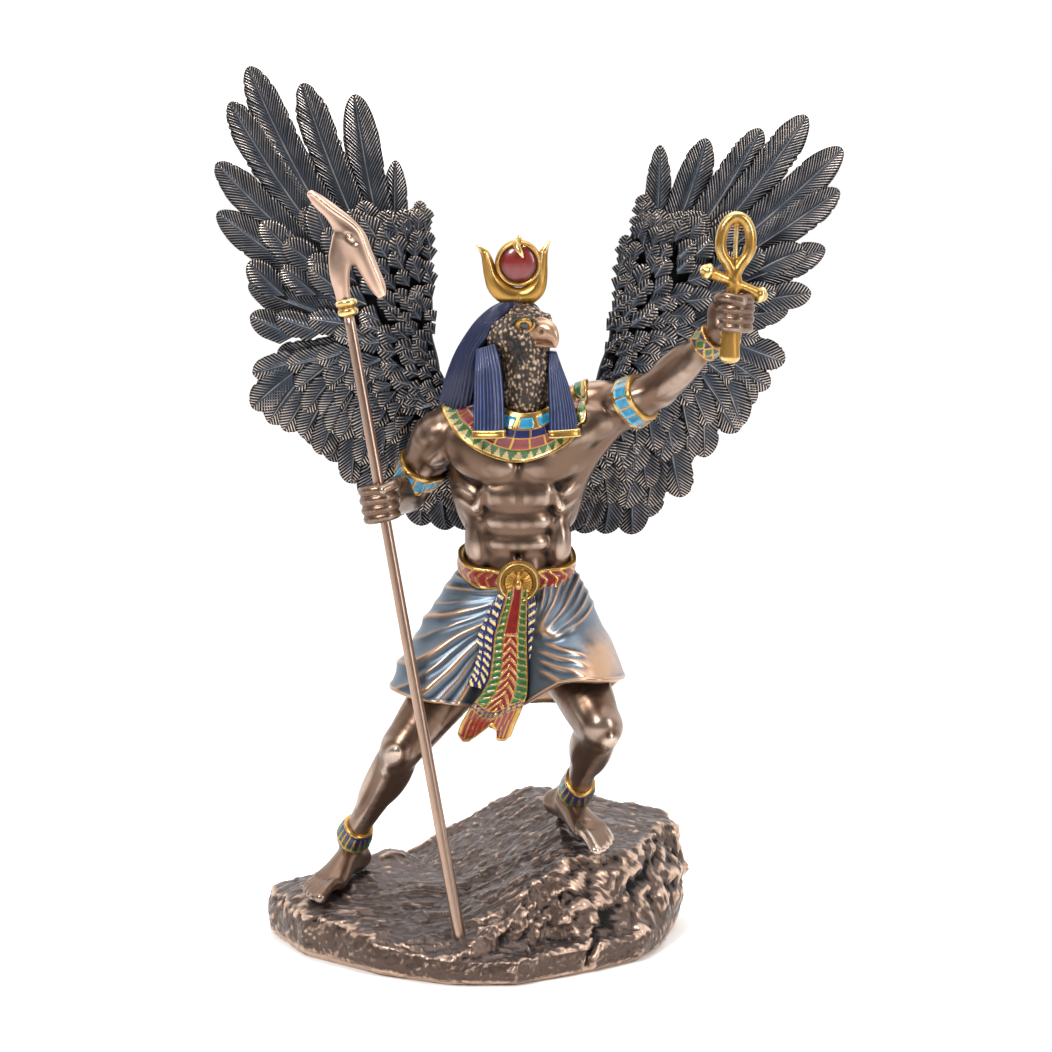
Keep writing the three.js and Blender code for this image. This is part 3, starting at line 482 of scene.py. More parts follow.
def make(name, places, quads, materials, wear, paint=None, replaces=()):
    """One piece of the figurine, riding on the frame."""
    same = (quads == np.roll(quads, 1, axis=1)).any(axis=1)
    order = quads[:, ::-1] if volume(places, quads) < 0 else quads
    flat = [list(dict.fromkeys(row)) for row in order[same].tolist()]
    keep = [row for row in flat if len(row) > 2]
    kept_rows = [i for i, row in zip(np.flatnonzero(same), flat) if len(row) > 2]
    mesh = bpy.data.meshes.new(name)
    mesh.vertices.add(len(places))
    mesh.vertices.foreach_set("co", (places * MM).astype(np.float32).ravel())
    full = order[~same]
    corners = np.concatenate([full.ravel(), np.array([i for row in keep for i in row], int)])
    sizes_of = np.concatenate([np.full(len(full), 4), np.array([len(row) for row in keep], int)])
    mesh.loops.add(len(corners))
    mesh.loops.foreach_set("vertex_index", corners.astype(np.int32))
    mesh.polygons.add(len(sizes_of))
    starts = np.concatenate([[0], np.cumsum(sizes_of)[:-1]])
    mesh.polygons.foreach_set("loop_start", starts.astype(np.int32))
    for material in materials:
        mesh.materials.append(material)
    if paint is not None:
        index = np.concatenate([np.asarray(paint)[~same], np.asarray(paint)[kept_rows]])
        mesh.polygons.foreach_set("material_index", index.astype(np.int32))
    mesh.polygons.foreach_set("use_smooth", np.ones(len(sizes_of), bool))
    mesh.update(calc_edges=True)
    mesh.validate()
    # Per-point paint value: wear, with painted shade in hollows and painted highlight on crests.
    worn_and_shaded = mesh.attributes.new("wear", "FLOAT", "POINT")
    worn_and_shaded.data.foreach_set("value", np.asarray(wear, np.float32).ravel())
    made = bpy.data.objects.new(name, mesh)
    bpy.context.scene.collection.objects.link(made)
    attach(made, "root")
    if replaces:
        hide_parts(*replaces)
    return made


def make_tube(name, rings, wear, finish_name):
    """A piece that is one closed skin over rings of points."""
    build = Build()
    build.tube(rings, np.broadcast_to(wear, rings.shape[:2]))
    places, quads, wear, _ = build.done()
    return make(name, places, quads, [finish(finish_name)], wear)


def volume(places, quads):
    """The volume inside four-sided faces; below zero if they face inward."""
    a, b, c, d = (places[quads[:, k]] for k in range(4))
    return float(np.sum(np.cross(a, b) * c) + np.sum(np.cross(a, c) * d)) / 6


# Finishes


def add(tree, kind, inputs=None, **settings):
    """A node with its settings, and its sockets set to values or linked to other sockets."""
    made = tree.nodes.new(kind)
    for name, value in settings.items():
        setattr(made, name, value)
    for name, value in (inputs or {}).items():
        socket = made.inputs[name]
        if isinstance(value, bpy.types.NodeSocket):
            tree.links.new(value, socket)
        elif hasattr(value, "__len__") and len(value) == 3 and socket.type == "RGBA":
            socket.default_value = (*value, 1)
        else:
            socket.default_value = value
    return made


def ramp(tree, factor, stops):
    """Colours set out along a factor."""
    made = add(tree, "ShaderNodeValToRGB", {"Fac": factor})
    while len(made.color_ramp.elements) < len(stops):
        made.color_ramp.elements.new(0.5)
    for element, (place, shade) in zip(made.color_ramp.elements, stops):
        element.position = place
        element.color = (*shade, 1)
    return made.outputs["Color"]


def rubbed_and_shaded(name, stops, metallic, rough, grain, mottle, bump, uneven=0.2, coat=0.0, upward_sheen=None):
    """A paint whose colour runs from hollows to crests: the hollow colour is wash and painted shade, the
    crest colour rubbed paint and, on most finishes, a painted highlight.

    rough is the roughness in hollows and on crests; grain and mottle are sizes in millimetres.
    A painted sheen can be given: a colour laid on faces that look up, as where light from above falls.
    """
    material = bpy.data.materials.new(name)
    material.use_nodes = True
    tree = material.node_tree
    tree.nodes.clear()
    place = add(tree, "ShaderNodeTexCoord").outputs["Object"]
    # Per-point value: painted shade in the hollows, painted highlight and rubbing on the crests.
    wear = add(tree, "ShaderNodeAttribute", attribute_name="wear").outputs["Fac"]
    cloud = add(tree, "ShaderNodeTexNoise", {"Vector": place, "Scale": 1 / (mottle * MM), "Detail": 4.0})
    shift = add(
        tree, "ShaderNodeMath", {0: cloud.outputs["Fac"], 1: uneven, 2: -uneven / 2},
        operation="MULTIPLY_ADD",
    )
    factor = add(tree, "ShaderNodeMath", {0: wear, 1: shift.outputs[0]}, operation="ADD").outputs[0]
    tint = ramp(tree, factor, stops)
    # Painted sheen: faces that look up take the paler colour.
    if upward_sheen:
        facing = add(tree, "ShaderNodeNewGeometry").outputs["Normal"]
        upward = add(tree, "ShaderNodeSeparateXYZ", {"Vector": facing}).outputs["Z"]
        share = add(
            tree, "ShaderNodeMapRange", {"Value": upward, "From Min": 0.55, "To Max": 0.7}
        ).outputs["Result"]
        tint = add(
            tree, "ShaderNodeMixRGB", {"Fac": share, "Color1": tint, "Color2": upward_sheen}, blend_type="MIX"
        ).outputs["Color"]
    roughness = add(
        tree, "ShaderNodeMapRange", {"Value": factor, "To Min": rough[0], "To Max": rough[1]}
    ).outputs["Result"]
    fine = add(tree, "ShaderNodeTexNoise", {"Vector": place, "Scale": 1 / (grain * MM), "Detail": 3.0})
    relief = add(
        tree, "ShaderNodeBump",
        {"Height": fine.outputs["Fac"], "Strength": bump, "Distance": 0.25 * grain * MM},
    )
    shader = add(
        tree,
        "ShaderNodeBsdfPrincipled",
        {
            "Base Color": tint, "Roughness": roughness, "Normal": relief.outputs["Normal"],
            "Metallic": metallic, "Coat Weight": coat, "Coat Roughness": 0.08,
        },
    )
    add(tree, "ShaderNodeOutputMaterial", {"Surface": shader.outputs["BSDF"]})
    return material


def finish(name):
    """A finish by name, made once."""
    found = bpy.data.materials.get(name)
    if found:
        return found
    return enamel(name) if name in ENAMELS else FINISHES[name]()


def cold_cast_bronze():
    # Resin filled with bronze powder, polished by hand: a soft brown metal, with a dark wash and painted
    # shade in the creases and a painted highlight on the crests.
    c = colours()
    stops = [(0.12, c.bronze_dark), (0.4, c.bronze), (0.62, c.bronze), (0.92, c.bronze_rubbed_and_highlight)]
    return rubbed_and_shaded("cold_cast_bronze", stops, 0.85, (0.42, 0.24), 0.5, 9, uneven=0.16, bump=0.12)


def gunmetal_paint():
    # Blue-grey metallic paint over cast feathers, dry-brushed with copper: only crests are warm. The grooves
    # are painted near-black shade and the crests carry a painted highlight.
    c = colours()
    stops = [(0.08, c.wing_dark), (0.42, c.wing), (0.6, c.wing), (0.95, c.wing_rubbed_and_highlight)]
    return rubbed_and_shaded("gunmetal_paint", stops, 0.8, (0.5, 0.3), 0.3, 7, uneven=0.34, bump=0.2)


def kilt_paint():
    # The same paint on smooth cast cloth, rubbed through to the bronze on each ridge, with painted shade in
    # the folds.
    c = colours()
    stops = [(0.1, c.cloth_dark), (0.42, c.cloth), (0.6, c.cloth), (0.86, c.cloth_rubbed)]
    return rubbed_and_shaded("kilt_paint", stops, 0.75, (0.46, 0.28), 0.4, 8, uneven=0.3, bump=0.15)


def rock_patina_and_sheen():
    # Cast rock: brown-black wash and painted shade in the cracks, rubbed copper and a painted highlight on
    # the broken edges, and a painted grey sheen on faces that look up.
    c = colours()
    stops = [(0.1, c.rock_dark), (0.36, c.rock), (0.62, c.rock), (0.9, c.rock_rubbed_and_highlight)]
    return rubbed_and_shaded("rock_patina_and_sheen", stops, 0.7, (0.5, 0.3), 0.5, 6, uneven=0.4, bump=0.5, upward_sheen=c.rock_patina_and_sheen)


def wig_paint():
    # Navy paint over cast strands, with lighter crests and near-black painted shade between the strands.
    c = colours()
    stops = [(0.1, linear("#05070f")), (0.45, c.wig), (0.7, c.wig), (0.95, c.wig_light)]
    return rubbed_and_shaded("wig_paint", stops, 0.1, (0.5, 0.32), 0.3, 4, uneven=0.25, bump=0.1, coat=0.2)


def gold_paint():
    # Antique gold metallic paint, brown in the recesses, with the wash that stayed there and painted shade.
    c = colours()
    stops = [(0.1, c.gold_dark), (0.45, c.gold), (0.7, c.gold), (0.95, c.gold_pale)]
    return rubbed_and_shaded("gold_paint", stops, 0.85, (0.42, 0.22), 0.3, 3, uneven=0.3, bump=0.15)


def enamel(name):
    # Hobby enamel brushed into a cast cell: glossy and slightly uneven. It is darker in corners, where it
    # lies thick and shade is painted, and a lighter copy of its colour is painted on crests as a highlight.
    kind, dark = ENAMELS[name]
    shade = linear(kind) if kind.startswith("#") else getattr(colours(), kind)
    stops = [(0.1, linear(dark)), (0.5, shade), (0.9, tuple(min(1, 1.25 * x + 0.02) for x in shade))]
    return rubbed_and_shaded(name, stops, 0.0, (0.4, 0.22), 0.4, 2, uneven=0.5, bump=0.1, coat=0.5)


def face_paint():
    # Brown paint over small cast feathers, with tan picked out on their tips.
    c = colours()
    stops = [(0.16, linear("#0c0807")), (0.42, c.feather), (0.52, c.feather), (0.8, c.feather_tip)]
    return rubbed_and_shaded("face_paint", stops, 0.3, (0.55, 0.35), 0.3, 1.4, uneven=0.5, bump=0.2)


def beak_paint():
    # Smooth coppery paint, with a painted highlight along the ridge of the beak and painted shade in its
    # grooves.
    stops = [(0.1, linear("#2a1810")), (0.5, linear("#704a32")), (0.9, linear("#cfae92"))]
    return rubbed_and_shaded("beak_paint", stops, 0.55, (0.4, 0.2), 0.3, 3, uneven=0.3, bump=0.1)


def rod_metal():
    # A drawn metal rod under bronze lacquer: smooth, with long soft reflections.
    c = colours()
    # A shaded and a lit copy of the rod colour, painted in the hollows and on the crests.
    dark, pale = tuple(0.25 * x for x in c.rod), tuple(min(1, 2.2 * x) for x in c.rod)
    stops = [(0.1, dark), (0.5, c.rod), (0.9, pale)]
    return rubbed_and_shaded("rod_metal", stops, 0.95, (0.35, 0.26), 0.4, 12, bump=0.05)


# Each enamel's colour in the panel or as a code, and its darker colour for corners, where it lies thick and
# shade is painted.
ENAMELS = {
    "turquoise_enamel": ("turquoise", "#0c3a52"),
    "red_enamel": ("red", "#2c0504"),
    "green_enamel": ("green", "#0c1f0b"),
    "navy_enamel": ("navy", "#07081c"),
    "disc_enamel": ("disc", "#3a0606"),
    "black_enamel": ("#17130f", "#050403"),
    "cream_enamel": ("#d9bd7c", "#5a4420"),
}
FINISHES = {
    kind.__name__: kind
    for kind in (
        cold_cast_bronze, gunmetal_paint, kilt_paint, rock_patina_and_sheen, wig_paint, gold_paint, face_paint,
        beak_paint, rod_metal,
    )
}


# Wings


WING_RIGHT = {
    "tips": [
        (-28.1, 25, 247.2), (-41, 27, 267.7), (-57.5, 28, 271.1), (-74.4, 29, 276.2), (-80.5, 30, 265),
        (-85, 30, 245.9), (-84.9, 30, 230.2), (-75.4, 30, 207.3), (-66.6, 29, 183.6), (-68.6, 29, 173.7),
        (-65.6, 29, 164.6), (-56.8, 28, 156.5), (-50, 27, 151), (-44, 26, 144), (-37.5, 25, 138),
        (-29, 24, 133.4), (-20.5, 23, 130.6), (-12.5, 22, 129.4), (-5, 21, 129.6),
    ],
    "lead": [
        (-20.3, 21, 231), (-18.9, 20.5, 222), (-17.6, 20, 208), (-17.6, 19, 194), (-15, 18, 180),
        (-9.5, 17.5, 168), (-4, 17, 156), (-1, 17, 146),
    ],
    "roots": [
        (-26, 22, 205), (-29, 22, 199), (-33, 22, 194), (-34, 22, 188), (-31, 21, 181), (-22, 20, 168),
        (-10, 19, 155),
    ],
    "bows": [1, 1.2, 1.6, 3.2, 2.2, 0.6, 0, 0.4],
    "outward": -1,
    "seed": 11,
}
WING_LEFT = {
    "tips": [
        (55.2, 25, 252), (70.1, 27, 253.9), (87.2, 28, 256.8), (101.6, 30, 260.8), (113, 30, 250.5),
        (112.2, 30, 237.3), (108, 30, 218.9), (96.6, 30, 199.1), (84, 29, 186), (82.1, 29, 178.5),
        (79.1, 29, 170.3), (75.5, 28, 162), (69, 28, 155), (63, 27, 147.8), (57, 26, 140.6),
        (52.4, 25, 133), (46.8, 24, 127.6), (38, 23, 128), (30.6, 22, 128.4), (25, 21, 129.2),
    ],
    "lead": [
        (49.5, 21, 233), (46, 20.5, 222), (42.4, 20, 210), (41.2, 19, 198), (38.6, 18, 185),
        (34, 17.5, 172), (29, 17, 160), (26, 17, 148),
    ],
    "roots": [
        (52, 22, 210), (54, 22, 204), (56, 22, 198), (56, 22, 190), (53, 21, 182), (45, 20, 168),
        (33, 19, 154),
    ],
    "bows": [0.6, 0.8, 1.2, 1.8, 1.4, 0.4, 0, 0.2],
    "outward": 1,
    "seed": 12,
}
FLIGHT_FEATHERS = 8
SHAFT = 0.08
# Stations across a blade, from one edge to the other, on its front and on its back.
BLADE_FRONT = np.array([-1, -0.8, -0.5, -0.22, -SHAFT, 0, SHAFT, 0.22, 0.5, 0.8, 1])
BLADE_BACK = np.array([0.5, -0.5])
# Heights of the three rows that make a barb, and how bright the paint is on each: the low row between barbs
# is painted shade, the crest rows lighter.
BARB_ROWS = np.array([-1.0, 0.5, 0.9])
BARB_SHADING = np.array([0.0, 0.36, 0.64])


def blade(build, root, tip, half, taper, front, rng, *, start, bow, bow_side, tilt, slant, lift, waist,
          copper, smooth, thick=0.8, barb=None, depth=None, rim_glow=0.0):
    """One feather: a closed blade with a shaft and slanting barbs that reach its rounded outline.

    start is the share of its length where it begins, taper the length over which the tip closes.
    bow bends it towards bow_side, lift raises its tip, and tilt turns it about its shaft like a tile.
    slant is how far the barbs lean to the tip, waist how narrow the root is. copper and rim_glow
    brighten the paint along the tip and the rim, and smooth fades the barbs beside the shaft.
    """
    barb = sizes("barb") if barb is None else barb
    depth = sizes("barb_depth") if depth is None else depth
    root, tip, front = np.array(root, float), np.array(tip, float), unit(front)
    size = np.linalg.norm(tip - root)
    along = unit(tip - root)
    across = unit(np.cross(along, front))
    front = np.cross(across, along)
    rows = max(3 * int((1 - start) * size / barb), 9)
    group = np.arange(rows) // 3
    strength = (0.7 + 0.6 * rng.random(group[-1] + 1))[group]
    edge = np.linspace(start * 0.5, 1, 300)
    left = (1 - edge) * size
    closing = np.clip(left / taper, 0, 1)
    wide = half * np.sqrt(1 - (1 - closing) ** 2) ** 1.1
    wide = wide * (waist + (1 - waist) * step_up(0.35, 0.8, edge))
    centre = edge - slant * wide / size
    share = np.linspace(max(start, centre[0] + 0.01), 1 - 0.004, rows)
    outer = np.interp(share, centre, edge)
    left_now = (1 - outer) * size
    wide = np.maximum(np.interp(outer, edge, wide), 0.03)
    clump = 1 - 0.05 * rng.random(group[-1] // 4 + 1)[group // 4] * step_up(0.4, 0.4, share)
    notch = 1 - 0.08 * (rng.random(group[-1] + 1) > 0.86)[group] * step_up(0.3, 0.3, share)
    wide_now = wide * clump * notch
    ridge = BARB_ROWS[np.arange(rows) % 3] * depth * strength

    def place(u, height):
        a = share[:, None] + slant * (np.abs(u)[None] ** 0.85) * wide[:, None] / size
        at = root + a[..., None] * (tip - root)
        swing = bow * np.sin(np.pi * np.clip(a, 0, 1))
        at = at + swing[..., None] * square_to(bow_side, along) + (lift * a**2)[..., None] * front
        at = at + (u[None] * wide_now[:, None])[..., None] * across
        return at + (height + tilt * u[None] * wide_now[:, None])[..., None] * front

    fade = 0.4 + 0.6 * np.clip(wide / half, 0, 1)[:, None]
    u = BLADE_FRONT
    arch = thick * (1 - 0.62 * u[None] ** 2) * fade
    out = np.clip((np.abs(u) - SHAFT) / 0.2, 0, 1)[None]
    toward_root = step_up(0.85, 0.3, 1 - share[:, None] + 0.3)
    calm = 1 - smooth * np.exp(-((np.abs(u)[None] / 0.55) ** 2)) * toward_root
    barbs = ridge[:, None] * out * calm
    shaft = 0.36 * (np.abs(u) <= SHAFT + 0.01)[None] * (1 + 0.6 * (u == 0))[None] * fade
    front_places = place(u, arch + barbs + shaft - 0.3)
    warm = copper * (0.2 + 0.8 * share[:, None] ** 3) * strength[:, None]
    lines = BARB_SHADING[np.arange(rows) % 3][:, None] * out * calm + 0.44 * (1 - out * calm)
    rim = rim_glow * (np.clip(1 - left_now / (0.5 * taper), 0, 1)[:, None] + 0.7 * np.abs(u)[None] ** 6)
    brushed = BARB_SHADING[np.arange(rows) % 3][:, None] > 0.4
    crest = lines + (warm + 0.12 * np.abs(u)[None] ** 2 + rim) * brushed
    front_wear = np.where(np.abs(u)[None] <= SHAFT + 0.01, 0.5 + 0.25 * (u == 0)[None], crest)
    v = BLADE_BACK
    hollow = thick * 0.7 * fade * (1 - 0.5 * np.abs(v)[None])
    back_places = place(v, 0.7 * ridge[:, None] * np.abs(v)[None] - hollow)
    # The furrows on the back of the blade are painted dark as shade.
    back_wear = np.where(ridge[:, None] < 0, 0.1, 0.55) * np.ones_like(v)[None]
    places = np.concatenate([front_places, back_places], axis=1)
    wear = np.concatenate([front_wear, back_wear], axis=1)
    columns = places.shape[1]
    quads = grid_faces(rows, columns, True)
    ends = end_caps(rows, columns, len(u), [0, *range(columns - 1, len(u) - 1, -1), len(u) - 1])
    build.put(places, np.vstack([quads, ends]), wear)


def wing_lattice(wing, a, b):
    """A place on the wing and the way its feathers point.

    a runs from the top of the wing to its foot, b from the leading edge to the fan.
    """
    lead = curve(wing["lead"], a)
    tip = curve(wing["tips"], a**0.75)
    root = curve(wing["roots"], a)
    fan = root + 0.3 * (tip - root)
    turn = np.radians(np.interp(a, [0, 0.3, 0.55, 0.8, 1], [2, 22, 60, 110, 160]))
    up = np.array([wing["outward"] * np.sin(turn), 0.12, np.cos(turn)])
    share = step_up(0.5, 1.0, b)
    return lead + (fan - lead) * b, unit((1 - share) * up + share * unit(tip - root))


def build_wing(name, wing, node):
    """A wing: long flight feathers, rows of smaller ones over their roots, the bone and the back."""
    rng = np.random.default_rng(wing["seed"])
    build = Build()
    tips, count = wing["tips"], len(wing["tips"])
    side = np.array([wing["outward"], 0, 0])
    tilt = -0.17 * wing["outward"]
    for i in range(count):
        flight = i < FLIGHT_FEATHERS
        root = curve(wing["roots"], i / (count - 1))
        blade(
            build, root, np.array(tips[i], float), (4.3 if i == 0 else 5.9) if flight else 5.4,
            15.0 if flight else 6.5, (0.04 * wing["outward"], -1, 0.02), rng, start=0.14 if flight else 0.08,
            bow=wing["bows"][i] if flight else 0.8, bow_side=side + np.array([0, 0, 0 if flight else -0.6]),
            tilt=tilt, copper=0.34, lift=-1.2, slant=1.35 if flight else 1.1, waist=0.9, smooth=0.25,
        )
    rows = [
        # Share from the leading edge to the fan, how many, length, half width, taper, forward.
        (1.66, 15, 26, 5.0, 7.0, 0.7), (1.3, 16, 21, 4.9, 6.0, 1.6), (1.02, 17, 17, 4.5, 5.2, 2.4),
        (0.8, 18, 13.5, 4.1, 4.6, 3.0), (0.6, 20, 11.4, 3.7, 4.0, 3.6), (0.42, 22, 9.8, 3.3, 3.5, 4.1),
        (0.25, 24, 8.8, 3.1, 3.2, 4.4), (0.1, 26, 7.8, 2.9, 3.0, 4.2), (-0.03, 26, 7, 2.7, 2.8, 3.2),
    ]
    for k, (b, number, size, half, taper, forward) in enumerate(rows):
        for j in range(number):
            a = np.clip((j + 0.5 * (k % 2) + 0.5 * rng.random() - 0.2) / (number - 0.4), 0, 1)
            place, heading = wing_lattice(wing, a, b + 0.1 * (rng.random() - 0.5))
            turn = 0.4 * (rng.random() - 0.5)
            heading = unit(heading + turn * np.cross(heading, (0, 1, 0)))
            place = place + np.array([0, -forward - 0.8 * rng.random(), 0])
            long = size * (0.85 + 0.3 * rng.random())
            blade(
                build, place - 0.45 * long * heading, place + 0.55 * long * heading,
                half * (0.88 + 0.24 * rng.random()), taper,
                (0.1 * rng.normal(), -1, 0.1 * rng.normal()), rng,
                start=0.3, tilt=0.4 * tilt, thick=0.7, barb=1.15 if half > 3 else 1.05, depth=0.15,
                slant=0.95, lift=0.9 + 0.7 * rng.random(), waist=0.85, copper=0.28 + 0.2 * rng.random(),
                bow=0.4 * (rng.random() - 0.5) * half, bow_side=side, smooth=0.8, rim_glow=0.3,
            )
    t = np.linspace(0, 1, 60)
    turn = np.linspace(0, 2 * np.pi, 14, endpoint=False)
    bone = curve(wing["lead"], t) + 1.2 * side
    radius = np.interp(t, [0, 0.1, 0.6, 1], [0.8, 1.8, 2.8, 4.2])
    bumps = 1 + 0.12 * np.sin(40 * t)[:, None] * np.cos(3 * turn)[None]
    rings = bone[:, None] + (radius[:, None] * bumps)[..., None] * np.stack(
        [np.cos(turn), np.sin(turn), 0 * turn], axis=-1
    )
    # The bone is painted in the darkest hollow colour: painted shade under the feathers.
    build.tube(rings, wear=np.full(rings.shape[:2], 0.05))
    a = np.linspace(0.14, 1, 97)
    inner = curve(wing["lead"], a) + (0, 1.5, 0)
    outer = curve(wing["roots"], a) + 0.25 * (curve(wing["tips"], a) - curve(wing["roots"], a)) + (0, 1, 0)
    across = np.linspace(0, 1, 18)
    web = inner[:, None] + (outer - inner)[:, None] * across[None, :, None]
    swell = (1.7 * np.sin(np.pi * np.clip(across * 0.9 + 0.1, 0, 1)) ** 0.5 + 0.15)[None, :, None]
    vane = np.abs(np.cos(np.pi * (13 * a[:, None] + 1.5 * across[None])))
    row = (4 * across[None] + 0.3 * vane) % 1
    scales = (0.9 * vane**0.5 * (0.4 + 0.6 * row))[..., None] * (0, 1, 0)
    rear = web + swell * (0, 1, 0) + scales
    ring = np.concatenate([web - swell * (0, 1, 0), rear[:, ::-1]], axis=1)
    worn_and_shaded = 0.15 + 0.45 * vane * row
    # The front of the web, under the feathers, is painted in the darkest hollow colour as shade; the back
    # shows lighter scales.
    build.tube(ring, wear=np.concatenate([np.full(worn_and_shaded.shape, 0.05), worn_and_shaded[:, ::-1]], axis=1))
    places, quads, wear, _ = build.done()
    return make(name, places, quads, [finish("gunmetal_paint")], wear, replaces=(node,))


# Body


SHOULDER_R, ELBOW_R, FIST_R = (-13.9, 4, 163.5), (-24.5, 13.5, 142.6), (-31.3, -19.9, 145.7)
SHOULDER_L, ELBOW_L = (33.2, 3, 169.5), (54, -7, 179.4)
WRIST_L, FIST_L = (70.4, -17, 196.5), (76, -22.5, 204.6)
LEG_R = {
    "hip": (3.3, 2, 103), "knee": (-25.6, -17, 68.1), "ankle": (-42.4, 7, 33), "heel": (-40.2, 12.6, 25.4),
    "ball": (-49.4, -8, 22.4), "toes": (-54.4, -15.4, 20.2), "front": (-0.27, -0.96, 0), "inner": 1,
}
LEG_L = {
    "hip": (19, 2, 104), "knee": (36.3, -30, 77.5), "ankle": (29.2, 4, 49.4), "heel": (22, 13.4, 43.4),
    "ball": (33.6, -6.6, 38.6), "toes": (37.6, -14.6, 35.4), "front": (0.35, -0.94, 0), "inner": -1,
}
MIDLINE = 10.6


def torso(clay):
    stations = [
        (10.4, 3, 98, 11, 9), (10.2, 3, 105, 17, 12), (10, 2.4, 113, 17, 12), (9.9, 1.6, 122, 15.6, 10.4),
        (9.9, 1.2, 130, 15.4, 9.8), (9.95, 1.2, 136, 15.8, 9.8), (9.9, 1.4, 141, 17, 10.2),
        (9.8, 1.8, 147, 19.4, 10.8), (10.6, 2.4, 154, 21.4, 11.4), (11, 3, 160, 22, 11.4),
        (11.2, 3.6, 166, 20.5, 10.2), (11.8, 4, 171.6, 14.5, 8.4), (12, 3, 176, 8, 7.2),
        (12.1, 1, 183, 6.6, 6.6),
    ]
    clay.limb(stations, soft=1.0, pieces=3)
    clay.limb([(10.6, -3.4, 151, 10.6, 7.6), (10.4, -3.0, 140, 10.2, 7.6), (10.2, -3.2, 129, 9.6, 7.4),
               (10, -4.2, 116, 7.6, 7.2)], soft=2.2)
    for s in (-1, 1):
        x = lambda value: MIDLINE + s * value
        # Breast, the wall of the armpit, shoulder blade and the slope to the neck.
        clay.muscle((x(0.4), -9.4, 153), (x(22), -2.8, 160.8), 7.0, 5.2, (0, 0, 1), soft=0.8)
        clay.muscle((x(3), -8.6, 159.5), (x(22), -3.8, 164.5), 5.8, 4.2, (0, 0, 1), soft=2.4)
        clay.muscle((x(18.4), 6, 162), (x(15), 4.4, 134), 4.4, 6.6, soft=2.6)
        clay.muscle((x(11), 11, 167), (x(12), 10.5, 152), 6.5, 3.4, soft=2)
        clay.limb([(x(3), 5, 179, 5), (x(11), 5, 172.4, 5.4), (x(20), 4.6, 168, 5.6)], soft=3)
        clay.limb([(x(4), 9.6, 158, 3.4), (x(4.4), 9, 138, 3.6), (x(4.6), 9.6, 120, 3.8)], soft=1.6)
        # The blocks of the belly.
        for z, high, wide, out in ((145.6, 4.4, 5.6, 9.2), (137.4, 3.5, 4.9, 8.4), (130.6, 3.1, 4.6, 8.2)):
            inner, outer = (x(-3.4), -out, z), (x(0.6 + 2 * wide), 1.2 - out, z + 0.7)
            clay.muscle(inner, outer, high, 3.1, (0, 0, 1), soft=1.8)
        clay.muscle((x(3.8), -6.8, 128), (x(2.4), -8, 112), 4.6, 3.4, soft=2)
        # Rib arch, the saw muscle on the ribs and the flank.
        clay.limb([(x(9), -8.4, 148.2, 1.3), (x(13), -7.4, 142.6, 1.3)], soft=1.8)
        for z, out in ((149.4, 18.6), (145, 17.8), (140.8, 16.6)):
            clay.muscle((x(out), -1.6, z), (x(out - 6), -7.0, z - 4.2), 1.7, 1.7, (0, 0, 1), soft=1.6)
        clay.muscle((x(13), -3.2, 139), (x(12.6), -4.2, 122), 3.8, 4.6, soft=2.4)
        clay.muscle((x(14.4), -3.4, 124), (x(7.6), -9, 115), 2.4, 3, soft=2)
        clay.groove([(x(11.2), -10.2, 146), (x(11.0), -9.6, 137), (x(10.0), -9.6, 127)], 0.9, soft=1.6)
        for z in (141.0, 134.0, 127.4):
            line = [(x(0.6), -12.8, z), (x(5.4), -12.4, z + 0.1), (x(10.2), -10.4, z + 0.7)]
            clay.groove(line, 0.55, soft=1.0)
    clay.groove([(11.3, -14.6, 162), (11.1, -14.4, 156), (11, -13.4, 150.5)], 1.2, soft=1.4)
    clay.groove([(11, -12.6, 150), (10.8, -12.7, 138), (10.5, -12.4, 128.5)], 0.75, soft=1.2)
    clay.groove([(11.2, 15.4, 168), (10.8, 13.8, 145), (10.4, 13.6, 118)], 1.8, soft=1.8)
    clay.muscle((10.4, -11.4, 128.4), (10.4, -11.2, 125.8), 1.3, 1.9, soft=0.8, sign=-1)


def arm_right(clay):
    clay.limb([
        (-3, 4, 164.5, 7.2, 6.6), (*SHOULDER_R, 8, 7.6), (-18, 8, 155.5, 7.2, 7), (-22, 11.4, 148, 6.2, 6.2),
        (*ELBOW_R, 5.2, 5.4),
    ], side=(0, 1, 0), soft=2)
    clay.limb([
        (*ELBOW_R, 5.2, 5.2), (-26.2, 4.6, 143.4, 5.4, 5.4), (-28.6, -4.6, 144.8, 4.4, 4.4),
        (-30.6, -11, 145.6, 3.3, 3.8), (-31, -14, 145.7, 3.6, 4.4),
    ], soft=1.5)
    clay.muscle((-3, -1.5, 167.5), (-18.5, 1.5, 154.5), 4.6, 5.2, (0, 0, 1), soft=0.9)
    clay.muscle((-7, 5, 170), (-22, 7.5, 153.5), 5.4, 5.6, (0, 1, 0), soft=1.0)
    clay.muscle((-6, 10, 167), (-20, 13, 155), 4.6, 4.6, soft=1.2)
    clay.muscle((-15, 1.6, 158), (-23.6, 8, 145.5), 3.6, 3.9, (0, 1, 0), soft=0.9)
    clay.muscle((-17, 14, 158.5), (-25.5, 16, 145), 3.6, 4.0, (0, 1, 0), soft=1.0)
    clay.muscle((-22.4, 11, 148), (-29, -6, 147.4), 3.3, 3.5, soft=0.9)
    clay.muscle((-25, 12, 141.6), (-29.6, -7, 142.6), 3.6, 3.2, soft=1.0)


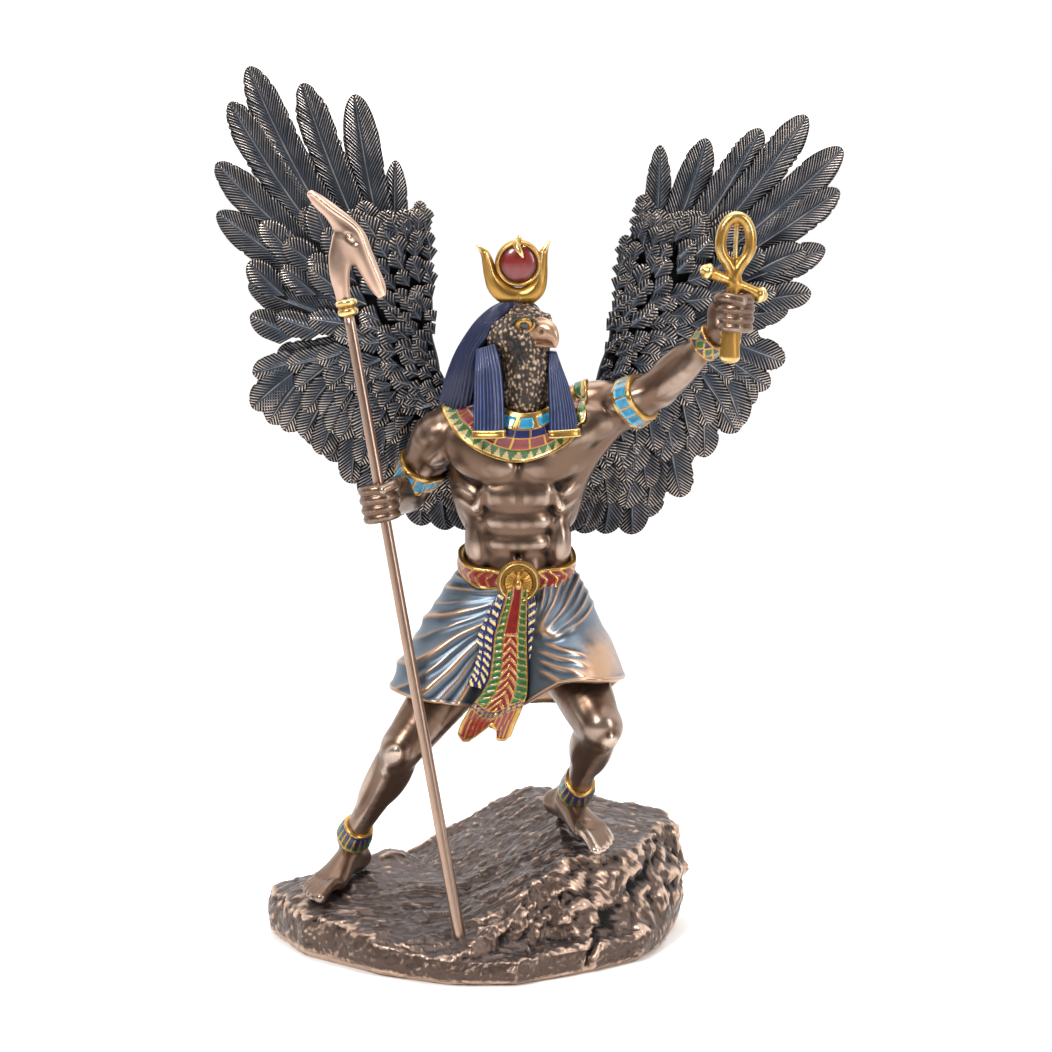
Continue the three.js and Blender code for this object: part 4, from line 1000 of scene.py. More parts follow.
def arm_left(clay):
    clay.limb([
        (24, 3.4, 167, 7, 7), (*SHOULDER_L, 8, 7.8), (41.5, 0.4, 172.4, 7.4, 7.2), (48.5, -4, 176, 6.8, 6.4),
        (*ELBOW_L, 5.8, 5.8),
    ], side=(0, 1, 0), soft=2)
    clay.limb([
        (*ELBOW_L, 5.8, 5.8), (60, -10.6, 185.4, 5.6, 5.4), (66, -14.4, 192, 4.4, 4.2), (*WRIST_L, 3.6, 3.4),
        (72.6, -19, 199.6, 4, 3.8),
    ], side=(0, 1, 0), soft=1.5)
    clay.muscle((22, -2.6, 168.4), (42.5, -4, 170), 5.2, 5.0, (0, 0, 1), soft=1.0)
    clay.muscle((24, 4, 174), (44.5, 1, 177), 4.6, 5, (0, 1, 0), soft=1.0)
    clay.muscle((37, -4.5, 172.6), (54.4, -9.4, 180), 4.2, 4.2, (0, 0, 1), soft=0.8)
    clay.muscle((35, 3, 164.6), (54, -2.4, 174.6), 4.2, 4.6, (0, 0, 1), soft=1.0)
    clay.limb([(26.6, 3, 147, 3.4, 6.4), (31, 2.4, 156, 4.4, 6.6), (37, 1.6, 165, 5, 6)], soft=2.4)
    clay.limb([(21, -8, 160, 3.6), (29, -6, 164.5, 4.2), (37, -3.4, 168.5, 4)], soft=1.6)
    clay.muscle((53, -11, 177.4), (67, -16.6, 191.4), 3.5, 3.9, (0, 1, 0), soft=0.9)
    clay.muscle((51.5, -6, 182), (66.5, -13.6, 194.6), 3.4, 3.7, (0, 1, 0), soft=0.9)


def leg(clay, spec):
    hip, knee, ankle = (np.array(spec[k], float) for k in ("hip", "knee", "ankle"))
    front = np.array(spec["front"], float)
    thigh, shin = unit(knee - hip), unit(ankle - knee)
    side = unit(np.cross(thigh, front))
    if side[0] * spec["inner"] < 0:
        side = -side
    fore = square_to(front, shin)
    fore_thigh = square_to(front, thigh)
    station = lambda p, wide, deep: (*p, wide, deep)
    clay.limb([
        station(hip, 10.6, 10.4), station(hip + 0.4 * (knee - hip), 10, 9.8),
        station(hip + 0.75 * (knee - hip), 8.2, 8.4), station(knee - 0.6 * front, 6.4, 6.6),
    ], side=side, soft=2)
    on = lambda t, f=0.0, s=0.0: knee + t * (ankle - knee) + f * fore + s * side
    above = lambda t, f=0.0, s=0.0: hip + t * (knee - hip) + f * fore_thigh + s * side
    clay.limb([
        station(on(0, -0.5), 6.2, 6.4), station(on(0.22, -1), 5.9, 6.2), station(on(0.42, -1.6), 5.6, 6),
        station(on(0.68, -1), 4.4, 4.6), station(on(0.88), 3.7, 3.9), station(on(1), 4, 4),
    ], side=side, soft=2)
    # Front of the thigh: the two teardrops over the knee and the straight head between them.
    clay.muscle(above(0.3, 3, 3), above(1.0, 2.4, 4.9), 3.4, 4.0, side, soft=0.8)
    clay.muscle(above(0.2, 3, -4), above(0.93, 2.4, -4.9), 3.8, 4.4, side, soft=0.8)
    clay.muscle(above(0.1, 5, -0.4), above(0.9, 4.6, -0.2), 3.8, 3.8, side, soft=0.8)
    clay.muscle(above(0.4, -4, 4), above(1.02, -3.6, 4), 3.6, 3.8, side, soft=1.2)
    clay.muscle(above(0.4, -4, -3), above(1.04, -3.4, -4), 3.4, 3.6, side, soft=1.2)
    # Kneecap with its tendon, then the shin's edge.
    clay.muscle(on(-0.10, 5.2), on(0.09, 5.4), 3.1, 2.3, side, soft=0.8)
    clay.limb([station(on(0.06, 5.6), 1.5, 1.5), station(on(0.17, 4.6), 1.7, 1.5)], side=side, soft=0.9)
    clay.limb([station(on(0.16, 3.6, 0.8), 1.5, 1.8), station(on(0.6, 2.2, 0.8), 1.3, 1.7),
               station(on(0.92, 1.6, 0.4), 1.3, 1.5)], side=side, soft=1.6)
    # Calf heads, the muscle outside the shin and the heel cord.
    clay.muscle(on(0.03, -2.4, 3.4), on(0.58, -2.4, 3.2), 3.5, 4.2, side, soft=1.0)
    clay.muscle(on(0.04, -2.6, -3.2), on(0.52, -2.6, -3.0), 3.3, 4.0, side, soft=1.0)
    clay.muscle(on(0.08, 1.8, -3.2), on(0.72, 1, -2.2), 2.8, 3.4, side, soft=1.0)
    clay.limb([station(on(0.6, -4), 2, 2), station(on(0.95, -3.8), 1.5, 1.6),
               station(np.array(spec["heel"]) + (0, 0, 1), 2.2, 2)], side=side, soft=1.6)


def foot(clay, spec):
    ankle, heel, ball, toes = (np.array(spec[k], float) for k in ("ankle", "heel", "ball", "toes"))
    along = unit(ball - heel)
    across = unit(np.cross(along, (0, 0, 1)))
    if across[0] * spec["inner"] < 0:
        across = -across
    up = np.array([0, 0, 1.0])
    at = lambda t, s=0.0, h=0.0: heel + t * (ball - heel) + s * across + h * up
    clay.limb([
        (*(heel - 0.3 * up), 3.6, 3.9), (*at(0.4, -0.3, 1.0), 3.8, 4.4), (*at(0.8, 0.2, 0.2), 5.0, 3.2),
        (*at(1.0, 0.3, -0.4), 5.3, 2.5),
    ], side=across, soft=1.4)
    clay.limb([(*ankle, 4, 4.2), (*at(0.36, 0.4, 4.4), 3.5, 3.4), (*at(0.66, 0.8, 2.8), 3.4, 2.6),
               (*at(0.95, 0.8, 0.4), 3.6, 1.9)], side=across, soft=2)
    for s, r in ((1, 1.9), (-1, 1.8)):
        knob = ankle + s * 3.3 * across - (0.6 + 0.5 * (s < 0)) * up
        clay.muscle(knob - (0, 0, 1.8), knob + (0, 0, 1.8), r, soft=1.4)
    forward = unit(toes - ball)
    reach = np.linalg.norm(toes - ball)
    # Big toe first: place across, length as a share, radius.
    for s, share, r in (
        (3.5, 1.08, 1.85), (1.0, 1.06, 1.3), (-0.95, 0.94, 1.22), (-2.8, 0.78, 1.16), (-4.5, 0.56, 1.1)
    ):
        base = ball + s * across - 0.6 * forward + 0.1 * up
        end = ball + s * 1.02 * across + forward * (reach * share) - 0.2 * up
        bend = (base + end) / 2 + 0.9 * up
        toe = [(*base, r, r), (*bend, 0.94 * r, 0.94 * r), (*end, 1.04 * r, 0.92 * r)]
        clay.limb(toe, side=across, soft=0.5)
        clay.limb([(*(at(0.62, 0.5 * s, 3.0)), 0.5, 0.5), (*(base + 1.2 * up), 0.6, 0.6)], soft=1.3)


def fist(clay, at, bar, reach, knuckles, wrist):
    """A closed hand about a bar: reach is the way the arm comes from, knuckles the side they lead to."""
    at, bar = np.array(at, float), unit(bar)
    back = square_to(reach, bar)
    side = square_to(knuckles, bar)
    side = unit(side - np.dot(side, back) * back)
    p = lambda b, s, k: at + b * back + s * side + k * bar
    clay.limb([(*p(4.4, 1.6, -3.4), 3.2, 2.6), (*p(4.2, 1.8, 3.6), 3.4, 2.6)], side=side, soft=1.6)
    palm = [(*wrist, 3.4, 3.2), (*p(5.6, 0.8, 0), 4.6, 3.4), (*p(3.4, 2.4, 0), 4.6, 2.8)]
    clay.limb(palm, side=bar, soft=1.8)
    # Each finger: its level along the bar and its radius.
    for level, r in ((4.4, 1.62), (1.5, 1.7), (-1.5, 1.64), (-4.2, 1.46)):
        rings = [
            (*p(3.6, 4.0, level), r * 1.08, r * 1.08), (*p(-0.6, 4.9, level * 1.03), r * 1.05, r * 1.05),
            (*p(-3.7, 2.6, level * 1.02), r * 1.1, r * 1.1), (*p(-3.9, -1.8, level), r, r),
            (*p(-1.2, -4.0, level * 0.98), r * 0.94, r * 0.94),
            (*p(1.4, -3.4, level * 0.96), r * 0.9, r * 0.9),
        ]
        clay.limb(rings, side=bar, soft=0.35, pieces=4)
    # The thumb.
    clay.limb([
        (*p(4.4, -1.4, 3.0), 2.2, 2.2), (*p(1.6, -4.6, 4.6), 1.9, 1.9), (*p(-2.2, -4.6, 4.9), 1.75, 1.75),
        (*p(-5.0, -1.6, 4.0), 1.55, 1.55),
    ], soft=0.6)


def hand_right(clay):
    fist(clay, FIST_R, (-34.2, 21, 193.2), (0.05, 1, 0), (-1, 0.2, 0), (-30.6, -11, 145.6))


def hand_left(clay):
    reach = np.array(WRIST_L) - np.array(FIST_L)
    fist(clay, FIST_L, (1.5, 1.6, 37), reach, (0.2, 1.0, 0), (71.6, -18, 198.4))


def body_clay(step, low, high):
    """The part of the body inside a box, pressed in clay."""
    clay = Clay(low, high, step)
    torso(clay)
    arm_right(clay)
    arm_left(clay)
    leg(clay, LEG_R)
    leg(clay, LEG_L)
    foot(clay, LEG_R)
    foot(clay, LEG_L)
    hand_right(clay)
    hand_left(clay)
    return clay


BODY = {}


def body_field():
    """The body as clay, made once."""
    if "clay" not in BODY:
        BODY["clay"] = body_clay(sizes("clay"), (-62, -42, 15), (88, 24, 212))
    return BODY["clay"]


def skin_wear(places, quads):
    """Wear and painted shading of the skin, from small crests and large ones together: creases and the
    hollows between muscles are painted darker, crests lighter.
    """
    fine = crests(places, quads, 2, 2.2)
    broad = crests(places, quads, 10, 0.5)
    return np.clip(0.5 * fine + 0.5 * broad, 0, 1)


def build_body():
    clay = body_field()
    cut = Clay(clay.low, clay.low, clay.step)
    cut.count, cut.field = clay.count, clay.field.copy()
    for at, outward in BODY_CUTS.values():
        cut.field = np.maximum(cut.field, beyond(cut, at, outward))
    places, quads = cut.skin()
    made = make(
        "body", places, quads, [finish("cold_cast_bronze")], skin_wear(places, quads),
        replaces=("figure",),
    )
    for name, (at, outward) in BODY_CUTS.items():
        low, high = FINE_BOXES[name]
        fine = body_clay(sizes("clay_fine"), low, high)
        fine.keep_side(np.array(at) - 0.7 * unit(outward), -unit(outward))
        places, quads = fine.skin()
        wear = 0.48 + 0.55 * (skin_wear(places, quads) - 0.5)
        make(name, places, quads, [finish("cold_cast_bronze")], wear)
    return made


def beyond(clay, at, outward):
    """Where a cut plane takes clay away, close to the part it is meant for."""
    _, (x, y, z) = clay.window(clay.low, clay.low + clay.step * clay.count, 0)
    n = unit(outward)
    plane = (x - at[0]) * n[0] + (y - at[1]) * n[1] + (z - at[2]) * n[2]
    away = [(g - a - 8 * k) ** 2 for g, a, k in zip((x, y, z), at, n)]
    near = 14 - np.sqrt(away[0] + away[1] + away[2])
    return np.minimum(plane, near).astype(np.float32)


# Where the finer hands and feet take over: a place on the limb, and the way to the hand or foot.
BODY_CUTS = {
    "hand_right": ((-30, -9, 145.4), (-0.2, -1, 0.05)),
    "hand_left": ((68.6, -15.8, 194.6), (0.55, -0.4, 0.72)),
    "foot_right": ((-41.6, 5.8, 34.6), (-0.4, 0.56, -0.8)),
    "foot_left": ((29.4, 3, 50.6), (-0.2, 0.8, -0.8)),
}
FINE_BOXES = {
    "hand_right": ((-40, -28, 136), (-22, -4, 156)),
    "hand_left": ((62, -32, 188), (84, -8, 214)),
    "foot_right": ((-61, -21, 16), (-33, 18, 40)),
    "foot_left": ((15, -20, 30), (46, 19, 58)),
}


# Painted ornament: gold walls standing round enamelled cells


PAINTS = ("gold_paint", "turquoise_enamel", "red_enamel", "green_enamel", "navy_enamel", "cream_enamel")
GOLD, TURQUOISE, RED, GREEN, NAVY, CREAM = range(6)


def paints():
    return [finish(name) for name in PAINTS]


def inlay(build, front, outward, back, share, across, pattern, closed=True):
    """A sheet whose pattern gives each place its paint, with the gold parts raised."""
    raised = (pattern(share[:, None], across[None]) == GOLD).astype(float)
    raised = 0.6 * raised + 0.2 * (np.roll(raised, 1, 1) + np.roll(raised, -1, 1))
    places = front + (sizes("cloison") * raised)[..., None] * outward
    rings = np.concatenate([places, back], axis=1)
    rows, columns = rings.shape[:2]
    # The sunken cells take a darker value as painted shade, the raised gold walls a lighter one.
    wear = np.concatenate([0.32 + 0.42 * raised, np.full(back.shape[:2], 0.4)], axis=1)
    step = share[1] - share[0]
    middle = 0.5 * (across[1:] + across[:-1])
    kind = pattern((share + 0.5 * step)[:, None], middle[None])
    kind = np.concatenate([kind, np.full((rows, columns - kind.shape[1]), GOLD)], axis=1)
    if closed:
        quads = grid_faces(rows + 1, columns, True) % (rows * columns)
        build.put(rings, quads, wear, kind.ravel())
    else:
        caps = end_caps(rows, columns, len(across), range(columns - 1, len(across) - 1, -1))
        quads = np.vstack([grid_faces(rows, columns, True), caps])
        build.put(rings, quads, wear, np.concatenate([kind[:-1].ravel(), np.full(len(caps), GOLD)]))


def reach_out(clay, centre, ways, start, level):
    """How far from centre along ways the surface lies, with level to spare."""
    reach = np.full(np.broadcast_shapes(np.shape(centre)[:-1], ways.shape[:-1]), float(start))
    for _ in range(18):
        gap = clay.read(centre + reach[..., None] * ways) - level
        reach = np.clip(reach - 0.9 * np.clip(gap, -1.5, 1.5), 0.5 * start, 1.2 * start)
    return reach


def smooth_round(values, rounds):
    """Evens out values along their first axis, which closes on itself."""
    for _ in range(rounds):
        values = 0.5 * values + 0.25 * (np.roll(values, 1, 0) + np.roll(values, -1, 0))
    return values


def cuff(name, centre, axis, high, start, level, pattern, barrel=0.3):
    """A band about a limb: start is about its radius, level how far it stands off the skin."""
    clay = body_field()
    centre, axis = np.array(centre, float), unit(axis)
    one = square_to((0, -1, 0), axis)
    two = np.cross(axis, one)
    around = int(2 * np.pi * start / sizes("tile"))
    share = np.arange(around) / around
    turn = 2 * np.pi * share
    ways = np.cos(turn)[:, None] * one + np.sin(turn)[:, None] * two
    across = np.linspace(-high / 2, high / 2, int(high / sizes("tile")) + 1)
    middle = centre + across[None, :, None] * axis
    reach = smooth_round(reach_out(clay, middle, ways[:, None], start, level), 12)
    slope = np.linspace(0, 1, len(across))[None]
    straight = reach[:, :1] * (1 - slope) + reach[:, -1:] * slope
    straight = straight + smooth_round((reach - straight).max(axis=1, keepdims=True), 6)
    straight = straight + barrel * (1 - (2 * slope - 1) ** 2)
    outward = np.broadcast_to(ways[:, None], (around, len(across), 3))
    front = middle + straight[..., None] * ways[:, None]
    back = front[:, [-1, -1, 0, 0]] - np.array([0.5, 1.6, 1.6, 0.5])[None, :, None] * ways[:, None]
    build = Build()
    inlay(build, front, outward, back, share, across, pattern)
    places, quads, wear, paint = build.done()
    return make(name, places, quads, paints(), wear, paint)


def tiles_pattern(high, count, paint, rim, bar):
    """Gold rims with square cells between them."""

    def pattern(share, across):
        cell = np.abs((share * count) % 1 - 0.5)
        gold = (np.abs(across) > high / 2 - rim) | (cell > 0.5 - bar)
        return np.where(gold, GOLD, paint)

    return pattern


def diamond_pattern(high, count, paint):
    """Gold rims with diamonds between them."""

    def pattern(share, across):
        cell = np.abs((share * count) % 1 - 0.5) * 2
        tall = np.abs(across) / (high / 2 - 0.6)
        edge = np.abs(cell + tall - 0.95) < 0.2
        return np.where(edge | (tall > 1), GOLD, np.where(cell + tall < 0.95, paint, NAVY))

    return pattern


def zigzag_pattern(high, count, paint, rim):
    """Gold rims with pointed leaves between them."""

    def pattern(share, across):
        cell = np.abs((share * count) % 1 - 0.5) * 2
        tall = np.clip(0.5 + across / (high - 2 * rim), 0, 1)
        leaf = cell < 0.75 * (1 - tall) + 0.1
        gold = (np.abs(across) > high / 2 - rim) | (leaf & (cell < 0.22))
        return np.where(gold, GOLD, np.where(leaf, paint, NAVY))

    return pattern


def belt_pattern(high):
    """Gold rims with gold arrows on red, pointing to the buckle."""

    def pattern(share, across):
        from_front = np.minimum(share, 1 - share) * 104
        arrow = (from_front + 0.8 * np.abs(across)) % 3.2 < 0.8
        return np.where((np.abs(across) > high / 2 - 0.55) | arrow, GOLD, RED)

    return pattern


def build_bands():
    cuff("armlet_right", (-20.4, 9.8, 150.9), np.subtract(SHOULDER_R, ELBOW_R), 6.0, 8, 0.8,
         tiles_pattern(6.0, 16, TURQUOISE, rim=1.25, bar=0.1))
    cuff("armlet_left", (46.8, -2.9, 175.2), np.subtract(SHOULDER_L, ELBOW_L), 6.4, 8, 0.8,
         tiles_pattern(6.4, 16, TURQUOISE, rim=1.35, bar=0.1))
    cuff("bracelet_left", (68.6, -15.9, 194.9), np.subtract(WRIST_L, (66, -14.4, 192)), 5.4, 5.2, 0.8,
         diamond_pattern(5.4, 9, GREEN))
    for name, spec, high in (("anklet_right", LEG_R, 6.0), ("anklet_left", LEG_L, 6.4)):
        knee, ankle = np.array(spec["knee"], float), np.array(spec["ankle"], float)
        pattern = zigzag_pattern(high, 18, GREEN, rim=0.8)
        cuff(name, knee + 0.93 * (ankle - knee), knee - ankle, high, 5.6, 0.6, pattern)


COLLAR_BANDS = (1.5, 4.9, 7.7, 10.9, 14.5)
COLLAR_WIDTH = 15.6


def collar_pattern(share, across):
    """Broad collar, from the neck out: gold, turquoise, navy, red, green with gold points, gold."""
    cell = lambda count: (share * count + 0.5) % 1
    kind = np.full(np.broadcast_shapes(share.shape, across.shape), GOLD)
    rows = (
        (COLLAR_BANDS[0], COLLAR_BANDS[1], 14, 0.3, TURQUOISE),
        (COLLAR_BANDS[1], COLLAR_BANDS[2], 22, 0.1, NAVY), (COLLAR_BANDS[2], COLLAR_BANDS[3], 24, 0.1, RED),
    )
    for low, high, count, bar, paint in rows:
        inside = (across > low + 0.25) & (across < high - 0.25) & (cell(count) > bar)
        kind = np.where(inside, paint, kind)
    low, high = COLLAR_BANDS[3:]
    inside = (across > low + 0.25) & (across < high)
    point = np.abs(cell(44) - 0.5) * 2 < 0.95 * (across - low) / (high - low) - 0.1
    return np.where(inside, np.where(point, CREAM, GREEN), kind)


def build_collar():
    clay = body_field()
    around = 360
    share = np.arange(around) / around
    turn = 2 * np.pi * share
    s, c = np.sin(turn), np.cos(turn)
    inner = np.stack([12.8 + 8.9 * s, -3.4 - 9.4 * c, 176.4 - 3.9 * c], axis=-1)
    outer = np.stack(
        [10.2 + 23.4 * s, 2.5 - 17 * c, 172.6 - 15 * np.maximum(c, 0) ** 1.4 + 4 * np.minimum(c, 0)], axis=-1
    )
    across = np.linspace(0, COLLAR_WIDTH, int(COLLAR_WIDTH / sizes("tile")) + 1)
    t = (across / COLLAR_WIDTH)[None, :, None]
    front = inner[:, None] * (1 - t) + outer[:, None] * t
    front = front + (1.6 * np.sin(np.pi * t)) * unit(outer - (11, 3, 160))[:, None]
    held = step_up(0.7, 0.5, t)
    front = held * clay.settle(front, 0.9, 5) + (1 - held) * front
    for _ in range(3):
        for _ in range(8):
            front = smooth_round(front, 1)
            front[:, 1:-1] = 0.5 * front[:, 1:-1] + 0.25 * (front[:, 2:] + front[:, :-2])
        low = np.clip(0.8 - clay.read(front), 0, 3)
        front = front + low[..., None] * clay.outward(front)
    across_way = np.gradient(front, axis=1)
    round_way = np.roll(front, -1, 0) - np.roll(front, 1, 0)
    outward = unit(np.cross(across_way, round_way))
    outward = outward * np.sign(np.sum(outward * (front - (11, 3, 160)), axis=-1, keepdims=True))
    depth = np.array([0.5, 1.5, 1.5, 0.5])[None, :, None]
    back = front[:, [-1, -1, 0, 0]] - depth * outward[:, [-1, -1, 0, 0]]
    build = Build()
    inlay(build, front, outward, back, share, across, collar_pattern)
    places, quads, wear, paint = build.done()
    return make("collar", places, quads, paints(), wear, paint)


# Kilt, belt and sash


KILT_HEM = [
    (9, -17.5, 80), (23, -32.5, 91.6), (35.5, -36, 93), (42.4, -24, 91), (43, -9, 89), (38, 9, 80),
    (28, 18, 75), (12, 20, 74), (-5, 18.5, 75), (-20, 11, 79), (-28.6, -3, 85.3), (-28.5, -14, 85.4),
    (-20, -22, 84), (-7, -20.5, 82),
]
BELT_AT, BELT_TILT = (9.9, 1.4, 124.0), 0.3
# Folds that fan out to his right from a place beside the buckle: angle below level, height, width.
RIGHT_FOLDS_FROM = (18.0, 117.0)
RIGHT_FOLDS = [
    (-4, 0.5, 0.9), (3, 0.9, 1.2), (10, 0.45, 0.9), (16, 1.0, 1.3), (22, 0.5, 0.9), (29, 1.25, 1.5),
    (34, 0.55, 1.0), (39, 1.1, 1.5), (45, 0.7, 1.2), (51, 1.0, 1.6), (60, 0.6, 1.4),
]
# Creases that fan up to the belt on his left from a place beside the sash.
LEFT_FOLDS_FROM = (15.5, 99.0)
LEFT_FOLDS = [
    (86, 0.4), (79, 0.6), (72, 0.5), (66, 0.75), (60, 0.5), (54, 0.8), (48, 0.5), (42, 0.6), (35, 0.5),
]


def fold_heights(x, y, z):
    """How far the folds stand out, by place on the kilt."""
    front = step_up(4, 14, -y + 6)
    back = 1 - front
    ax, az = RIGHT_FOLDS_FROM
    angle = np.degrees(np.arctan2(az - z, ax - x))
    far = np.hypot(az - z, ax - x)
    wobble = 1.6 * noise(np.stack([x, y, z], -1), 9.0)
    right = sum(
        high / (1 + ((angle - a + wobble) * np.radians(1) * far / wide) ** 2)
        for a, high, wide in RIGHT_FOLDS
    )
    right = 1.5 * (right - 0.75) * step_up(-2, 8, ax - 9 - x) * np.clip(far / 24, 0.3, 1)
    bx, bz = LEFT_FOLDS_FROM
    angle = np.degrees(np.arctan2(z - bz, x - bx))
    far = np.hypot(z - bz, x - bx)
    left = sum(
        high / (1 + ((angle - a + 1.5 * wobble) * np.radians(1) * far / 0.75) ** 2)
        for a, high in LEFT_FOLDS
    )
    left = 1.6 * (left - 0.5) * step_up(17, 4, x) * step_up(103, 5, z) * step_up(6, 5, far)
    sweep = z - 101 + 0.22 * (x - 20) + wobble
    cross = sum(0.6 / (1 + ((sweep - s) / 0.9) ** 2) for s in (1.5, -1.2, -4.2, -8))
    cross = 1.5 * (cross - 0.3) * step_up(102.5, -4, z) * step_up(18, 5, x) * (1 - step_up(30, 9, x))
    pleats = 0.75 * np.abs(np.sin(0.42 * x + 0.05 * (z - 90) + 0.9 * np.sin(0.1 * x)))
    pleats = pleats * step_up(112, 14, 200 - z)
    sides = 0.5 * np.sin(0.9 * y + 0.25 * z + 1.4 * wobble)
    return front * (right + left + cross) + back * (pleats + 0.15 * sides)


def build_kilt():
    clay = body_field()
    around, down = 300, 104
    turn = 2 * np.pi * np.arange(around) / around
    t = np.linspace(0, 1, down)
    waist = np.stack([10 + 16.2 * np.sin(turn), 1.5 - 11.6 * np.cos(turn), 0 * turn + 122.6], axis=-1)
    waist[:, 2] += BELT_TILT * waist[:, 1]
    hem = curve(KILT_HEM, turn / (2 * np.pi), closed=True)
    base = waist[:, None] + (hem - waist)[:, None] * t[None, :, None]
    middle = np.array([9.5, -1.0, 0])
    way = unit((base - middle) * (1, 1, 0))
    base = base + (1.6 * np.sin(np.pi * t) ** 0.8)[None, :, None] * way
    for _ in range(6):
        near = clay.read(base)
        push = np.clip(1.1 - near, 0, 5) * (near < 20)
        base = base + push[..., None] * clay.outward(base)
        for _ in range(5):
            base = 0.5 * base + 0.25 * (np.roll(base, 1, 0) + np.roll(base, -1, 0))
            base[:, 1:-1] = 0.5 * base[:, 1:-1] + 0.25 * (base[:, 2:] + base[:, :-2])
    outward = unit(np.cross(np.gradient(base, axis=1), np.roll(base, -1, 0) - np.roll(base, 1, 0)))
    outward = outward * np.sign(np.sum(outward * way, axis=-1).mean())
    fade = step_up(0.03, 0.1, t)[None]
    high = fold_heights(base[..., 0], base[..., 1], base[..., 2]) * fade
    front = base + (0.5 + high)[..., None] * outward
    lip = 0.35 * np.exp(-(((t - 0.985) / 0.012) ** 2))[None, :, None]
    front = front + lip * outward
    inner_rows = np.array([0.999, 0.96, 0.85, 0.7, 0.5, 0.3, 0.12, 0.0])
    pick = np.round(inner_rows * (down - 1)).astype(int)
    inside = front[:, pick] - 1.5 * outward[:, pick]
    rings = np.concatenate([front, inside], axis=1)
    rows, columns = rings.shape[:2]
    quads = grid_faces(rows + 1, columns, True) % (rows * columns)
    flat = rings.reshape(-1, 3)
    wear = 0.5 * crests(flat, quads, 3, 2.6) + 0.5 * crests(flat, quads, 12, 0.7)
    x, z = flat[:, 0], flat[:, 2]
    thigh = np.exp(-(((x - 36) / 9) ** 2) - (((z - 96) / 9) ** 2))
    wear = np.clip(wear + 0.34 * thigh, 0, 1)
    return make("kilt", flat, quads, [finish("kilt_paint")], wear)


def build_belt():
    cuff("belt", BELT_AT, (0, -BELT_TILT, 1), 5.4, 16, 1.6, belt_pattern(5.4), barrel=0.2)


BUCKLE_AT, BUCKLE_RADIUS = (10.7, -16.2, 120.3), 6.5


def buckle_height(x, z):
    """Relief of a winged beetle inside a raised ring, in millimetres."""
    r = np.hypot(x, z)
    high = 1.3 * np.exp(-(((r - 5.75) / 0.42) ** 4))
    high = high + 0.35 * np.exp(-(((r - 4.95) / 0.16) ** 2))
    
    def blob(cx, cz, rx, rz, h):
        return h * np.sqrt(np.clip(1 - ((x - cx) / rx) ** 2 - ((z - cz) / rz) ** 2, 0, 1))

    figure = np.maximum(blob(0, -0.9, 1.35, 2.0, 1.2), blob(0, 1.6, 1.05, 1.1, 1.1))
    figure = np.maximum(figure, blob(0, 2.9, 0.6, 0.7, 0.8))
    side = np.abs(x)
    around = np.degrees(np.arctan2(z + 0.3, side))
    rho = np.hypot(side, z + 0.3)
    ribs = 0.5 + 0.5 * np.cos(np.radians(around * 20 + 30 * rho))
    wing = (0.45 + 0.4 * ribs) * step_up(1.5, 0.5, rho) * (1 - step_up(4.3, 0.5, rho))
    wing = wing * step_up(-46, 12, around) * (1 - step_up(70, 14, around))
    tail = 0.55 * (0.5 + 0.5 * np.cos(4.6 * x)) * step_up(2.6, 0.4, -z)
    tail = tail * (1 - step_up(4.4, 0.3, r)) * (side < 2.2)
    return high + np.maximum(np.maximum(figure, wing), tail) + 0.12


def build_buckle():
    around = 144
    turn = np.linspace(0, 2 * np.pi, around, endpoint=False)
    r = np.concatenate([[0.05], np.linspace(0.12, BUCKLE_RADIUS, 46)])
    x, z = r[:, None] * np.sin(turn), r[:, None] * np.cos(turn)
    high = buckle_height(x, z)
    x0, y0, z0 = BUCKLE_AT
    lean = 0.06
    face = np.stack([x0 + x, y0 - high - 0.2 + lean * z, z0 + z], axis=-1)
    skirt = [
        np.stack([x0 + k * x[-1], 0 * x[-1] + y0 + d + lean * z[-1], z0 + k * z[-1]], axis=-1)
        for k, d in ((1.02, 0.2), (1.02, 1.6), (0.9, 2.2), (0.3, 2.2))
    ]
    rings = np.concatenate([face, np.array(skirt)])
    wear = np.concatenate([np.clip(0.22 + 0.45 * high / 1.1, 0, 1), np.full((4, around), 0.4)])
    return make_tube("buckle", rings, wear, "gold_paint")


# Edges of the sash (z, left, right, forward) and of the pleats behind it.
SASH_EDGES = np.array([
    (119, 7.4, 13.6, -16.6), (115.2, 6.7, 13.3, -17.6), (110, 5.0, 13.2, -18.6), (104.4, 3.3, 13.1, -19.8),
    (98, 2.7, 13.3, -21.0), (91, 1.7, 13.6, -22.0), (86.3, -0.8, 13.3, -22.6), (83.6, -3.2, 12.5, -22.9),
    (80.2, -5.2, 11.2, -23.1), (76, -7.4, 9.5, -23.2), (72, -8.6, 8.1, -23.2), (70, -8.6, 7.9, -23.2),
])
SASH_FOOT = np.array([
    (-1, 73.2), (-0.74, 70.8), (-0.5, 71.2), (-0.28, 73), (0.1, 76.8), (0.36, 74.8), (0.46, 71.8),
    (0.8, 71.2), (1, 72.6),
])
PLEAT_LEFT = np.array([
    (118.5, 5.6), (116, 4.3), (112.6, 1.9), (107, -0.4), (101.5, -2.8), (99.2, -1.3),
    (92, -3.3), (87.4, -5.3),
])
PLEAT_RIGHT = np.array([
    (118.5, 15), (116, 15.7), (111.3, 16.3), (105.3, 18.5), (99.5, 19.8), (97.6, 18.2),
    (91, 18.6), (85.8, 14.8),
])


def read_edge(table, z, column=1):
    """An edge's place at height z, from a table that runs downward."""
    return np.interp(-z, -table[:, 0], table[:, column])


